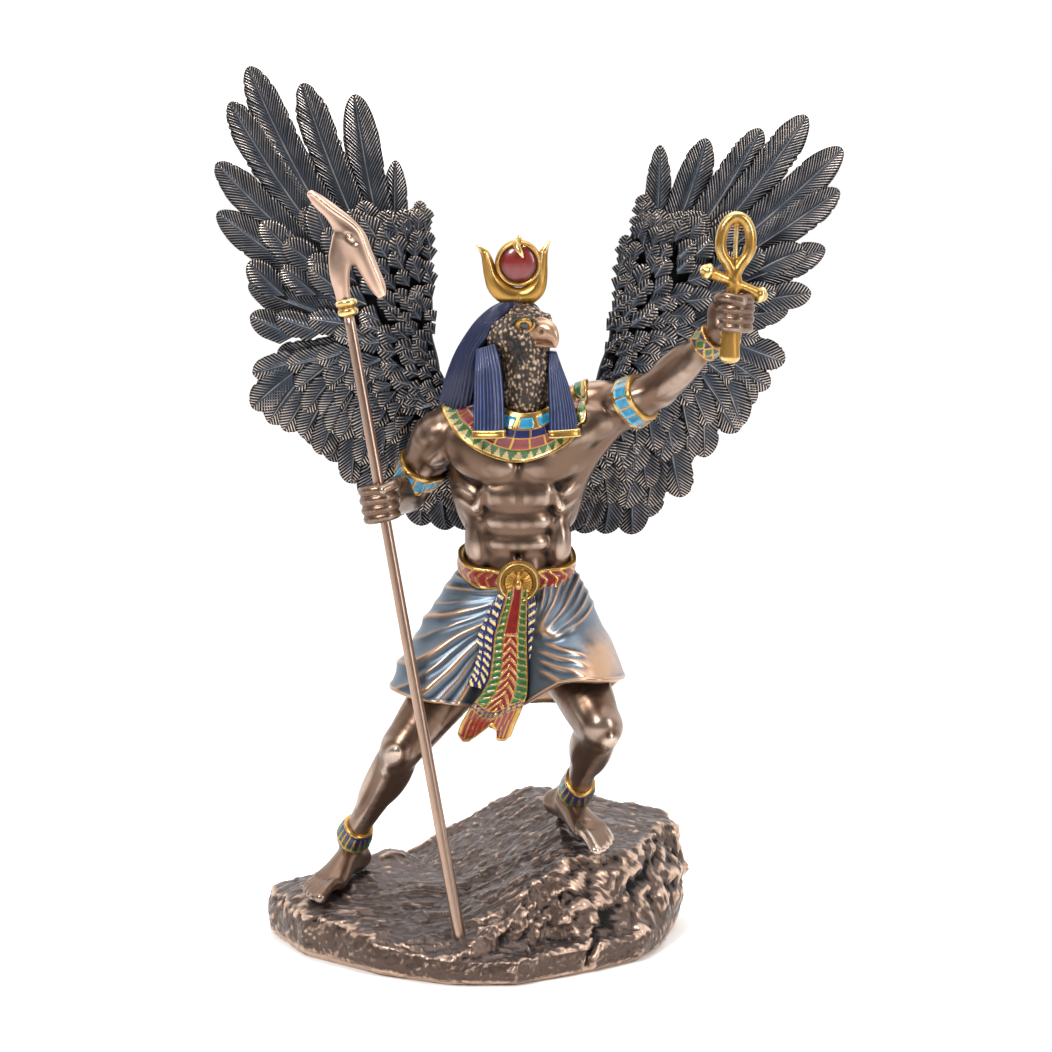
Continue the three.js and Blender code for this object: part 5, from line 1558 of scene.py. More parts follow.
def sash_pattern(u, z):
    """Red middle with gold arrows, green ladders at the sides, beads and tassels at the foot."""
    half = 0.5 * (read_edge(SASH_EDGES, z, 2) - read_edge(SASH_EDGES, z, 1))
    side = np.abs(u) * half
    line = (np.abs(side - 0.42 * half) < 0.24) | (side > half - 0.42)
    rung = ((z + 0.25 * side) % 2.0 < 0.34) & (side > 0.42 * half)
    kind = np.where(side > 0.42 * half, GREEN, RED)
    arrow = ((z + 1.15 * side) % 2.7 < 0.95) & (z < 103.6) & (side < 0.42 * half)
    bar = (np.abs(z - 104.4) < 0.35) & (side < 0.42 * half)
    kind = np.where(line | rung | arrow | bar, GOLD, kind)
    bend = z + 1.6 * np.cos(3.0 * u + 0.3)
    beads = np.hypot((side * np.sign(u)) % 1.5 - 0.75, bend - 81.4) < 0.62
    foot = np.where(beads | (np.abs(bend - 82.6) < 0.25) | (np.abs(bend - 80.3) < 0.25), GOLD, NAVY)
    tassel = np.where(np.abs((side * np.sign(u)) % 1.5 - 0.75) > 0.56, GOLD, RED)
    hem = z < np.interp(u, SASH_FOOT[:, 0], SASH_FOOT[:, 1]) + 0.9
    tassel = np.where(hem | (side > half - 0.6) | (u > 0.82), GOLD, tassel)
    kind = np.where(bend < 82.8, foot, kind)
    return np.where(bend < 80.1, tassel, kind)


def build_sash():
    rows, columns = 176, 44
    u = np.linspace(-1, 1, columns)
    share = np.arange(rows) / (rows - 1)
    top = SASH_EDGES[0, 0]
    foot = np.interp(u, SASH_FOOT[:, 0], SASH_FOOT[:, 1])
    z = top + (foot[None] - top) * share[:, None]
    left, right, forward = (read_edge(SASH_EDGES, z, k) for k in (1, 2, 3))
    x = 0.5 * (left + right) + 0.5 * (right - left) * u[None]
    low = step_up(80, 12, 160 - z)
    y = forward - 0.7 * (1 - u[None] ** 2) + low * (0.9 - 1.7 * np.cos(2.9 * u[None] - 0.2))
    y = y - 0.5 * (np.abs(u[None]) > 0.9) * (1 - low)
    front = np.stack([x, y, z], axis=-1)
    outward = unit(np.cross(np.gradient(front, axis=1), np.gradient(front, axis=0)))
    outward = outward * np.where(outward[..., 1:2] > 0, -1, 1)
    depth = np.array([0.4, 1.2, 1.2, 1.2, 0.4])[None, :, None]
    back = front[:, [-1, -1, columns // 2, 0, 0]] + depth * (0, 1, 0)
    build = Build()
    
    def flat_pattern(down, v):
        foot_here = np.interp(v, SASH_FOOT[:, 0], SASH_FOOT[:, 1])
        return sash_pattern(v, top + (foot_here - top) * down)

    inlay(build, front, outward, back, share, u, flat_pattern, closed=False)
    places, quads, wear, paint = build.done()
    return make("sash", places, quads, paints(), wear, paint)


def pleat_pattern(x, z):
    """Navy pleats with two columns of slanting pale bars on each side of the sash."""
    out_left = read_edge(SASH_EDGES, z, 1) - x
    out_right = x - read_edge(SASH_EDGES, z, 2)
    out = np.maximum(out_left, out_right)
    slant = np.interp(-z, [-118, -99, -98, -86], [0.45, 0.7, 0.9, 1.5])
    bar = (z - slant * out + 0.7 * (out > 3.1)) % 2.6 < 0.85 + 0.25 * slant
    column = ((out > 0.5) & (out < 2.7)) | ((out > 3.4) & (out < 5.6))
    return np.where(bar & column, CREAM, NAVY)


def build_pleats():
    for name, edge, turn in (("pleats_right", PLEAT_LEFT, 1), ("pleats_left", PLEAT_RIGHT, 2)):
        down, across = 124, 30
        z = np.linspace(edge[0, 0], edge[-1, 0], down)
        inner = read_edge(SASH_EDGES, z, turn) + (1.6 if turn == 1 else -1.6)
        outer = read_edge(edge, z)
        v = np.linspace(0, 1, across)
        x = inner[:, None] + (outer - inner)[:, None] * v[None]
        zz = np.broadcast_to(z[:, None], x.shape) + 1.2 * v[None] * step_up(100, 26, 200 - z)[:, None]
        y = read_edge(SASH_EDGES, z, 3)[:, None] + 1.0 + 1.5 * v[None] ** 1.5
        y = y - 0.22 * np.abs(np.sin(3.1 * x))
        front = np.stack([x, y, zz], axis=-1)
        kind = pleat_pattern(x, zz)
        raised = (kind == CREAM) * 0.3
        front[..., 1] -= raised
        back = front[:, [-1, across // 2, 0]] + np.array([1.3, 1.6, 1.3])[None, :, None] * (0, 1, 0)
        rings = np.concatenate([front, back], axis=1)
        rows, columns = rings.shape[:2]
        faces = np.concatenate([kind[:-1, :-1], np.full((rows - 1, columns - across + 1), NAVY)], axis=1)
        wear = np.concatenate([0.42 + 0.3 * (raised > 0), np.full((rows, 3), 0.3)], axis=1)
        caps = end_caps(rows, columns, across, range(columns - 1, across - 1, -1))
        quads = np.vstack([grid_faces(rows, columns, True), caps])
        paint = np.concatenate([faces.ravel(), np.full(len(caps), NAVY)])
        make(name, rings.reshape(-1, 3), quads, paints(), wear, paint)


# Head, wig and crown


HEAD_AT = np.array([12.0, -2.6, 196.4])
FACE = unit((0.74, -0.67, 0))
CHEEK = unit((-0.67, -0.74, 0))


def on_head(forward, side, up):
    """A place given along the beak, towards his right cheek and up."""
    return tuple(HEAD_AT + forward * FACE + side * CHEEK + up * np.array([0, 0, 1]))


def head_shape(clay):
    h = on_head
    clay.muscle(h(-7.5, 0, 0.2), h(8, 0, 0.4), 8.0, 8.4, CHEEK, soft=1)
    clay.limb([(*h(-1, 0, -4), 7.4, 7.4), (13.4, -4.8, 186, 7.5, 7.4), (13.0, -4.2, 178, 7.3, 7.4),
               (12.6, -2.4, 170.5, 7.8, 7.8)], soft=3)
    clay.keep_side((0, 0, 171.6), (0, 0, -1))
    clay.muscle((2.6, -4.0, 191.6), (7.6, -8.4, 199.6), 4.6, 3.8, FACE, soft=2.4)
    clay.muscle(h(-1, 3.6, -3.6), h(6, 3.2, -3.6), 4.4, 4.6, soft=2)
    clay.muscle(h(-1, -3.6, -3.6), h(6, -3.2, -3.6), 4.4, 4.6, soft=2)
    for s in (1, -1):
        brow = 1.0 if s > 0 else 0.5
        clay.limb([(*h(1.5, 6.6 * s, 4.8), 0.9 * brow), (*h(5.2, 5.9 * s, 5.0), 1.2 * brow),
                   (*h(8.2, 4.0 * s, 3.9), 0.8 * brow)], soft=1.8)
        clay.muscle(h(3.6, 8.2 * s, 1.2), h(8.0, 7.0 * s, 1.4), 2.4, 2.0, (0, 0, 1), soft=0.6, sign=-1)


def beak_shape(clay):
    h = on_head
    clay.limb([
        (*h(5.4, 0, 0.9), 4.6, 4.2), (*h(8.4, 0, 1.1), 3.5, 4.0), (*h(10.6, 0, 0.7), 2.6, 3.5),
        (*h(12.2, 0, -0.5), 1.8, 2.6), (*h(13.2, 0, -2.1), 1.0, 1.6), (*h(13.4, 0, -3.6), 0.4, 0.6),
    ], side=CHEEK, soft=1)
    clay.limb([(*h(6, 0, -3.0), 3.4, 1.8), (*h(10.4, 0, -3.1), 1.9, 1.1), (*h(12.2, 0, -3.3), 0.9, 0.6)],
              side=CHEEK, soft=0.6)
    for s in (1, -1):
        clay.groove([h(4.5, 4.6 * s, -2.1), h(9, 3.2 * s, -2.2), h(12.6, 1.4 * s, -2.6)], 0.35, soft=0.4)
        clay.muscle(h(9.6, 3.0 * s, 1.3), h(10.8, 2.6 * s, 1.1), 0.5, 0.8, soft=0.4, sign=-1)


def cells(p, size):
    """For scattered seeds: distance to the nearest, gap to the next, its value and which way it leans."""
    g = np.asarray(p, float) / size
    home = np.floor(g)
    best = np.full(g.shape[:-1], 9.0)
    second = np.full(g.shape[:-1], 9.0)
    value = np.zeros(g.shape[:-1])
    lean = np.zeros(g.shape[:-1])
    for dx in (-1, 0, 1):
        for dy in (-1, 0, 1):
            for dz in (-1, 0, 1):
                cell = home + (dx, dy, dz)
                jitter = np.stack([hash_noise(cell + k * 57) for k in (1, 2, 3)], axis=-1)
                away = g - cell - jitter
                d = np.sum(away**2, axis=-1)
                nearer = d < best
                second = np.where(nearer, best, np.minimum(second, d))
                best = np.where(nearer, d, best)
                seed = hash_noise(cell + 211)
                tilt = np.sum(away * (jitter[..., ::-1] - 0.5), axis=-1)
                value, lean = np.where(nearer, seed, value), np.where(nearer, tilt, lean)
    best, second = np.sqrt(best), np.sqrt(second)
    return best, second - best, value, lean


def build_head():
    step = sizes("clay_face")
    clay = Clay((-4, -17, 168), (26, 9, 208), step)
    head_shape(clay)
    places, quads = clay.skin()
    normals = normals_of(places, quads)
    flow = places * (1, 1, 0.72)
    near, _, value, _ = cells(flow, 1.05)
    scale = np.clip(1.1 - near * 1.4, 0, 1)
    places = places + (0.5 * scale - 0.15)[:, None] * normals
    bright = 0.32 + 0.62 * scale * (0.65 + 0.35 * value)
    local = places - HEAD_AT
    forward, up = local @ FACE, local[:, 2]
    stripe = np.exp(-(((forward - 4.2 + 0.25 * (up + 4)) / 1.5) ** 2)) * step_up(-1.6, 1.0, -up - 3.2 + 0.6)
    stripe = stripe * (up > -9) * (up < -0.5)
    bright = bright - 0.35 * stripe
    make("head", places, quads, [finish("face_paint")], bright)
    beak = Clay((10, -17, 186), (26, -2, 202), step)
    beak_shape(beak)
    places, quads = beak.skin()
    # Paler on crests and towards the top of the beak: painted highlight.
    worn_and_shaded = np.clip(0.35 + 0.4 * crests(places, quads, 8, 0.8) + 0.02 * (places[:, 2] - 196), 0, 1)
    make("beak", places, quads, [finish("beak_paint")], worn_and_shaded)
    for s, label in ((1, "right"), (-1, "left")):
        forward, grow = (6.0, 1.0) if s > 0 else (3.2, 0.72)
        centre = clay.settle(np.array([on_head(forward, 7.4 * s, 1.9)]), 0.0)[0]
        normal = clay.outward(np.array([centre]))[0]
        build_eye(label, centre, normal, grow)


def build_eye(label, centre, normal, grow):
    """One eye: a gold dome, a dark pupil, the lower lid and the line round them."""
    right = square_to(FACE, normal)
    up = np.cross(normal, right)
    up = up * np.sign(up[2])
    turn = np.linspace(0, 2 * np.pi, 64, endpoint=False)

    def dome(name, wide, tall, rise, lift, finish_name, slot, shift=0.0):
        r = np.linspace(0.03, 1, 14)
        x, z = r[:, None] * np.cos(turn) * wide + shift, r[:, None] * np.sin(turn) * tall
        x, z = grow * x, grow * z
        high = rise * np.sqrt(np.clip(1 - r**2, 0, 1))[:, None] + lift + 0 * x
        rings = centre + x[..., None] * right + z[..., None] * up + high[..., None] * normal
        foot = centre + x[-1][:, None] * right + z[-1][:, None] * up + (lift - 1.2) * normal
        make_tube(name, np.concatenate([rings, foot[None]]), 0.6, finish_name)

    def lid(name, wide, tall, thick, lift, finish_name, first, last):
        steps = np.linspace(0, 1, 60)
        a = first + (last - first) * steps
        point = 1 + 0.16 * np.abs(np.cos(a)) ** 6
        line = grow * np.stack([wide * np.cos(a) * point, tall * np.sin(a)], axis=-1)
        b = np.linspace(0, 2 * np.pi, 12, endpoint=False)
        width = thick * (0.25 + 0.75 * np.sin(np.pi * steps) ** 0.5)
        out = unit(line)
        rings = (
            centre
            + (line[:, None, :] @ np.stack([right, up]))
            + (width[:, None] * np.cos(b))[..., None] * (out @ np.stack([right, up]))[:, None]
            + (lift + 0.8 * width[:, None] * np.sin(b))[..., None] * normal
        )
        make_tube(name, rings, 0.6, finish_name)

    dome("eye_" + label, 2.9, 2.3, 0.8, 0.0, "gold_paint", "antique_gold")
    dome("pupil_" + label, 1.7, 1.65, 1.0, 0.3, "black_enamel", "wig_navy", shift=0.2)
    lid("lower_lid_" + label, 3.0, 2.4, 0.65, 0.4, "gold_paint", np.pi * 0.98, np.pi * 2.02)
    lid("eye_line_" + label, 3.8, 3.2, 0.5, 0.2, "black_enamel", 0.0, 2 * np.pi)


# Wig outline by height: left and right edges, front-to-back middle and half depth, where it opens.
WIG_ROWS = np.array([
    (205.4, 6.8, 13.2, -0.6, 3.0, -10, 100), (204.6, 4.6, 15.4, 0.0, 5.4, -18, 104),
    (203.0, 1.8, 17.4, 0.4, 7.8, -25, 108), (200.0, -1.6, 19.4, 0.9, 9.8, -30, 110),
    (196.5, -4.4, 20.4, 1.2, 11.2, -33, 114), (190, -8.4, 22.0, 1.8, 12.8, -38, 118),
    (182, -11.6, 24.0, 3.6, 13.6, -33, 122), (174, -13.6, 26.4, 6.0, 13.6, -34, 126),
    (168.4, -13.8, 28.0, 8.2, 12.4, -40, 128),
])
STRANDS = 40


def build_wig():
    rows, per = 56, 7
    t = np.linspace(0, 1, rows)
    z, left, right, mid_y, deep, open_left, open_right = curve(WIG_ROWS, t).T
    u = np.linspace(0, 1, STRANDS * per + 1)
    # Way round the head from the opening on his right, past the back, to the one on his left.
    turn = np.radians((open_left[:, None]) - (360 + open_left - open_right)[:, None] * u[None])
    x = 0.5 * (left + right)[:, None] + 0.5 * (right - left)[:, None] * np.sin(turn)
    y = mid_y[:, None] - deep[:, None] * np.cos(turn)
    zz = np.broadcast_to(z[:, None], x.shape)
    sheet = np.stack([x, y, zz], axis=-1)
    out = unit(np.cross(np.gradient(sheet, axis=0), np.gradient(sheet, axis=1)))
    out = out * np.sign(np.sum(out[rows // 2, len(u) // 2] * (0, 1, 0)))
    wobble = 0.22 * noise(sheet * (1, 1, 0.15), 3.0)
    strand = np.abs(np.sin(np.pi * (u[None] * STRANDS + wobble)))
    relief = 0.8 * strand**0.8 - 0.4
    rim = np.minimum(u, 1 - u)[None] * STRANDS / 1.5
    relief = relief - 0.8 * np.clip(1 - rim, 0, 1) ** 2
    front = sheet + relief[..., None] * out
    pick = np.round(np.linspace(len(u) - 1, 0, 30)).astype(int)
    under = sheet[:, pick] - 1.9 * out[:, pick]
    rings = np.concatenate([front, under], axis=1)
    worn_and_shaded = 0.1 + 0.75 * strand**1.5 * (0.8 + 0.25 * wobble)
    wear = np.concatenate([worn_and_shaded, np.full(under.shape[:2], 0.2)], axis=1)
    columns = rings.shape[1]
    caps = end_caps(rows, columns, len(u), range(columns - 1, len(u) - 1, -1))
    quads = np.vstack([grid_faces(rows, columns, True), caps])
    make("wig", rings.reshape(-1, 3), quads, [finish("wig_paint")], wear)
    for name, stations in (("lappet_right", LAPPET_R), ("lappet_left", LAPPET_L)):
        build_lappet(name, np.array(stations, float))


# Lappets of the wig: place, half width, way they face.
LAPPET_R = [
    (0.6, -8.4, 192.6, 3.4, -0.35, -1), (1.2, -11.4, 187, 4.3, -0.3, -1), (1.5, -13.4, 180, 4.7, -0.25, -1),
    (1.6, -15.0, 173, 4.9, -0.2, -1), (1.6, -16.4, 165.8, 5.0, -0.2, -1),
]
LAPPET_L = [
    (21.2, -7.0, 191, 1.2, 0.4, -1), (22.0, -9.2, 186, 2.4, 0.4, -1), (23.2, -11.4, 179.6, 3.6, 0.35, -1),
    (24.2, -13.2, 173, 4.3, 0.3, -1), (24.8, -14.4, 165.8, 4.8, 0.25, -1),
]


def build_lappet(name, stations):
    """A striped fall of the wig in front of the shoulder, with a gold cuff at its foot."""
    rows = 60
    s = curve(stations, np.linspace(0, 1, rows))
    centre, half = s[:, :3], s[:, 3]
    facing = unit(np.stack([s[:, 4], s[:, 5], 0 * half], axis=-1))
    side = unit(np.cross(facing, np.gradient(centre, axis=0)))
    count = 9
    u = np.linspace(-1, 1, count * 6 + 1)
    strand = np.abs(np.sin(np.pi * count * (u + 1) / 2 + 0.25 * noise(np.stack([0 * u, 0 * u, u], -1), 0.3)))
    round_off = 1.7 * (1 - np.abs(u) ** 2.4)
    high = round_off[None] + 0.32 * strand[None] ** 0.8 - 0.2
    front = centre[:, None] + (half[:, None] * u[None])[..., None] * side[:, None]
    front = front + high[..., None] * facing[:, None]
    v = np.array([0.9, 0.4, 0, -0.4, -0.9])
    back = centre[:, None] + (half[:, None] * v[None])[..., None] * side[:, None] - 1.3 * facing[:, None]
    rings = np.concatenate([front, back], axis=1)
    wear = np.full(rings.shape[:2], 0.3)
    wear[:, : len(u)] = 0.1 + 0.75 * strand**1.5
    make_tube(name, rings, wear, "wig_paint")
    a = np.linspace(0, 2 * np.pi, 72, endpoint=False)
    rows = []
    low, way, across = centre[-1], facing[-1], side[-1]
    down = unit(centre[-1] - centre[-6])
    for d, grow in (
        (-2.0, 0.0), (-1.9, 0.25), (-1.5, 0.4), (-1.2, 0.22), (-0.9, 0.34), (-0.2, 0.42), (0.1, 0.4),
        (0.4, 0.25), (0.5, -0.2),
    ):
        wide, deep = half[-1] + grow, 1.5 + grow
        ring = low + d * down + (wide * np.sign(np.cos(a)) * np.abs(np.cos(a)) ** 0.6)[:, None] * across
        ring = ring + (0.2 + deep * np.sign(np.sin(a)) * np.abs(np.sin(a)) ** 0.8)[:, None] * way
        rows.append(ring)
    cuff_build = Build()
    cuff_build.tube(np.array(rows), np.zeros((len(rows), len(a))))
    places, quads, _, _ = cuff_build.done()
    wear = crests(places, quads, 3, 1.0)
    make(name + "_cuff", places, quads, [finish("gold_paint")], wear)


def build_small(name, low, high, step, shape, finish_name, replaces=()):
    """A small piece pressed in clay."""
    clay = Clay(low, high, step)
    shape(clay)
    places, quads = clay.skin()
    wear = 0.5 * crests(places, quads, 3, 1.4) + 0.5 * crests(places, quads, 12, 0.5)
    return make(name, places, quads, [finish(finish_name)], wear, replaces=replaces)


def horns_shape(clay):
    left = [
        (10.2, -0.4, 207.2, 2.6, 2.4), (6.8, -0.4, 207.8, 3.1, 2.6), (4.0, -0.2, 210.2, 3.0, 2.6),
        (2.2, 0, 213.6, 2.2, 2.2), (1.4, 0, 217.0, 1.9, 1.8), (0.4, 0, 220.2, 1.4, 1.3),
        (-1.2, 0, 222.2, 0.8, 0.8), (-2.1, 0, 223.1, 0.35, 0.35),
    ]
    right = [
        (11.4, -0.4, 207.2, 2.6, 2.4), (14.2, -0.4, 207.8, 3.0, 2.6), (16.4, -0.2, 210.0, 2.8, 2.5),
        (17.7, 0, 213.6, 2.0, 2.1), (18.0, 0, 217.4, 1.7, 1.7), (18.5, 0, 220.8, 1.3, 1.2),
        (19.6, 0, 223.2, 0.7, 0.7), (20.4, 0, 224.5, 0.35, 0.35),
    ]
    clay.limb(left, side=(0.7, 0, 0.7), soft=0.6)
    clay.limb(right, side=(-0.7, 0, 0.7), soft=0.6)
    clay.groove([(10.7, -3.4, 210.4), (10.7, -2.9, 207), (10.7, -2.4, 204.4)], 0.4, soft=0.5)
    for line, s in ((left, 1), (right, -1)):
        clay.limb([(x + 0.5 * s, -1.9 if i < 5 else -1.2, z + 0.2, 0.4, 0.4) for i, (x, _, z, _, _) in
                   enumerate(line[1:-2])], soft=1.0)


def cobra_shape(clay):
    clay.limb([
        (11.9, -4.2, 219.8, 0.5), (11.4, -4.4, 221, 0.8), (10.5, -3.6, 222.4, 1.15),
        (10.2, -2.4, 223.8, 1.3), (10.9, -2.2, 225.0, 0.75), (11.0, -2.6, 226.2, 0.45),
    ], soft=0.4)
    clay.limb([(9.7, -2.0, 221, 0.5), (12.4, -1.6, 222.6, 0.6), (10.4, -0.6, 224, 0.6)], soft=0.5)


def build_crown():
    build_small("horns", (-4, -5, 202), (23, 5, 227), 0.34, horns_shape, "gold_paint")
    build_small("cobra", (7, -7, 217), (15, 2, 228), 0.24, cobra_shape, "gold_paint")
    stand = lambda clay: clay.limb([(10.2, -1, 200.5, 4.4, 4.2), (10.2, -0.8, 202.0, 3.9, 3.6)], soft=0.5)
    build_small("crown_stand", (3, -8, 198), (18, 6, 211), 0.5, stand, "wig_paint")
    turn = np.linspace(0, 2 * np.pi, 120, endpoint=False)

    def wheel(name, profile, finish_name, wear):
        rings = np.array([
            np.stack([10.7 + r * np.sin(turn), 0 * turn + y, 217.4 + r * np.cos(turn)], axis=-1)
            for r, y in profile
        ])
        make_tube(name, rings, np.array(wear, float)[:, None], finish_name)

    ring = [
        (5.0, -0.6), (5.7, -1.8), (6.0, -2.3), (6.4, -2.6), (6.9, -2.3), (7.25, -1.4), (7.3, 0), (7.2, 1.4),
        (6.6, 2.2), (5.7, 2.0), (5.0, 0.8),
    ]
    # Darker where the ring meets the disc, lighter on its front lip: painted shade and painted highlight.
    ring_wear = [0.2, 0.3, 0.6, 0.8, 0.7, 0.5, 0.5, 0.5, 0.6, 0.4, 0.3]
    wheel("disc_ring", ring, "gold_paint", ring_wear)
    r = np.linspace(0.05, 1, 16)
    dome = [(5.9 * k, -1.5 - 2.1 * math.sqrt(max(1 - k * k, 0))) for k in r]
    dome += [(5.9 * k, 1.3 + 0.8 * math.sqrt(max(1 - k * k, 0))) for k in r[::-1]]
    # The face of the disc is painted lighter than its rim and back: painted highlight on the face, painted
    # shade at the rim.
    wheel("sun_disc", dome, "disc_enamel", [0.7] * 12 + [0.3] * 4 + [0.4] * 16)


# Things he holds


ROD_TOP, ROD_FOOT, ROD_RADIUS = (-41, -14, 201.6), (-6.8, -35, 8.4), 1.75


def sceptre_shape(clay):
    # A long beast's head on a forked neck; the plane of the head faces the viewer.
    flat = (0, 1, 0)
    clay.limb([
        (-52.6, -12.8, 240.0, 1.0, 1.3), (-50.0, -12.9, 237.6, 1.6, 2.1), (-46.2, -13.2, 234.4, 1.8, 2.5),
        (-42.6, -13.4, 230.4, 2.2, 3.4), (-39.6, -13.6, 226.0, 2.4, 4.1), (-37.0, -13.8, 221.2, 2.2, 3.4),
        (-34.6, -13.8, 216.4, 2.0, 2.9), (-32.2, -14, 211.6, 1.7, 2.4), (-31.2, -14, 209.2, 1.1, 1.5),
    ], side=flat, soft=0.8)
    clay.limb([
        (-42.4, -13.5, 226, 2.0, 3.8), (-43.6, -13.6, 220.6, 2.0, 3.7), (-43.9, -13.8, 215.6, 1.9, 3.1),
        (-43.2, -13.6, 210.6, 1.9, 2.5), (-42.5, -13.3, 205.4, 1.9, 2.0),
    ], side=flat, soft=1.4)
    clay.limb([(-52.0, -14.2, 240.2, 0.4), (-46.4, -15.4, 235.6, 0.6), (-38.4, -16.0, 229.6, 0.6),
               (-35.4, -15.8, 222.6, 0.5), (-32.0, -15.6, 214, 0.5), (-30.4, -15.0, 209.6, 0.4)], soft=1.2)
    clay.groove([(-42.6, -16.6, 218), (-42.2, -16.4, 212), (-41.9, -15.6, 207)], 0.7, soft=0.7)
    clay.muscle((-42.6, -16.8, 228.6), (-38.0, -16.8, 224.6), 1.5, 1.6, soft=0.4, sign=-1)
    clay.muscle((-41.4, -15.4, 227.6), (-39.2, -15.4, 225.6), 0.8, 1.0, soft=0.3)


def tube_between(name, a, b, profile, finish_name, replaces=()):
    """A turned piece from a to b; profile gives distance along it and radius."""
    a, b = np.array(a, float), np.array(b, float)
    along = unit(b - a)
    one = square_to((0, -1, 0), along)
    two = np.cross(along, one)
    turn = np.linspace(0, 2 * np.pi, 48, endpoint=False)
    ring = np.cos(turn)[:, None] * one + np.sin(turn)[:, None] * two
    rings = np.array([a + d * along + r * ring for d, r in profile])
    build = Build()
    build.tube(rings, np.zeros(rings.shape[:2]))
    places, quads, _, _ = build.done()
    wear = crests(places, quads, 2, 1.0)
    return make(name, places, quads, [finish(finish_name)], wear, replaces=replaces)


def build_sceptre():
    build_small(
        "sceptre_beast", (-57, -19, 202), (-27, -8, 244), 0.38, sceptre_shape, "rod_metal",
        replaces=("sceptre_head",),
    )
    size = np.linalg.norm(np.subtract(ROD_FOOT, ROD_TOP))
    rod = [(d, ROD_RADIUS * (0.92 + 0.12 * d / size)) for d in np.linspace(-3, size, 40)]
    tube_between("rod", ROD_TOP, ROD_FOOT, rod, "rod_metal", replaces=("sceptre_rod",))
    rings = [(0, 2.0), (0.1, 2.8), (0.6, 3.4), (1.4, 3.5), (2.1, 3.2), (2.4, 2.6), (2.8, 2.6), (3.1, 3.1),
             (3.8, 3.3), (4.6, 3.2), (5.1, 2.7), (5.3, 1.9)]
    top = np.array(ROD_TOP) - 6.4 * unit(np.subtract(ROD_FOOT, ROD_TOP))
    tube_between("sceptre_rings", top, ROD_FOOT, rings, "gold_paint")


ANKH_BARS = ((67.4, -24.6, 217.8), (84.6, -20.6, 209.8))


def ankh_shape(clay):
    up = unit((1.5, 1.6, 37))
    across = unit(np.subtract(ANKH_BARS[1], ANKH_BARS[0]))
    face = np.cross(across, up)
    middle = np.mean(ANKH_BARS, axis=0)
    at = lambda s, u: tuple(middle + s * np.array([1, 0.1, 0]) + u * up)
    side = (1, 0.1, 0)
    clay.limb([(*ANKH_BARS[0], 1.9), (*(middle - 2.6 * across), 1.7), (*(middle + 2.6 * across), 1.7),
               (*ANKH_BARS[1], 1.9)], soft=0.4)
    for end, s in ((ANKH_BARS[0], -1), (ANKH_BARS[1], 1)):
        knob = np.array(end) - 0.6 * s * across
        clay.muscle(knob - 1.6 * across, knob + 1.8 * across, 2.6, 2.4, up, soft=0.3)
    clay.limb([
        (*at(0, 1.4), 2.4, 1.9), (*at(0, -4), 2.0, 1.9), (*at(0, -10), 2.2, 1.9), (*at(-0.2, -16), 2.6, 1.9),
        (*at(-0.2, -22.6), 3.2, 1.9),
    ], side=side, soft=0.6)
    loop = []
    for a in np.linspace(-60, 240, 15):
        s, u = 4.6 * math.cos(math.radians(a)), 12.4 + 7.6 * math.sin(math.radians(a))
        pull = 1.0 if u > 9 else 0.72 + 0.28 * (u - 3) / 6
        loop.append((*at(s * pull, u), 1.75, 1.75))
    clay.limb([(*at(0, 2.2), 2.0, 1.8), *loop, (*at(0, 2.2), 2.0, 1.8)], side=face, soft=0.5, pieces=4)
    inner_rib = [(*at(0, 3), 0.9, 0.7), (*at(0, 12), 0.7, 0.6), (*at(0, 18.6), 0.9, 0.7)]
    clay.limb(inner_rib, side=side, soft=0.6)
    for u in (-15.4, -17.4):
        clay.muscle(at(-3.4, u), at(3.2, u), 0.7, 2.3, soft=0.4)


def build_ankh():
    build_small("ankh_gold", (61, -32, 186), (92, -12, 240), 0.38, ankh_shape, "gold_paint",
                replaces=("ankh",))


# Rock


ROCK_OUTLINE = [
    (-69, 21), (-68.5, 8), (-57, -15), (-33, -36), (-11, -47), (10, -47), (33, -33), (49, -20), (57, -2),
    (63, 22), (60, 42), (36, 49), (4, 50), (-28, 47), (-54, 38),
]
ROCK_CLIFF = [(2, -42), (30, -29), (50, -15), (62, 2), (74, 30)]


def outline_reach(turn):
    """How far the outline of the rock lies from its middle, by direction."""
    dx, dy = np.cos(turn), np.sin(turn)
    reach = np.zeros_like(turn)
    for (ax, ay), (bx, by) in zip(ROCK_OUTLINE, ROCK_OUTLINE[1:] + ROCK_OUTLINE[:1]):
        ex, ey = bx - ax, by - ay
        cross = dx * ey - dy * ex
        cross = np.where(np.abs(cross) < 1e-9, 1e-9, cross)
        far = (ax * ey - ay * ex) / cross
        part = (ax * dy - ay * dx) / cross
        reach = np.where((far > 0) & (part >= -1e-6) & (part <= 1 + 1e-6), np.maximum(reach, far), reach)
    return reach


def cliff_depth(x, y):
    """How far behind the foot of the cliff a place lies."""
    depth = np.full(np.shape(x), np.inf)
    for (ax, ay), (bx, by) in zip(ROCK_CLIFF, ROCK_CLIFF[1:]):
        size = math.hypot(bx - ax, by - ay)
        depth = np.minimum(depth, ((bx - ax) * (y - ay) - (by - ay) * (x - ax)) / size)
    return depth


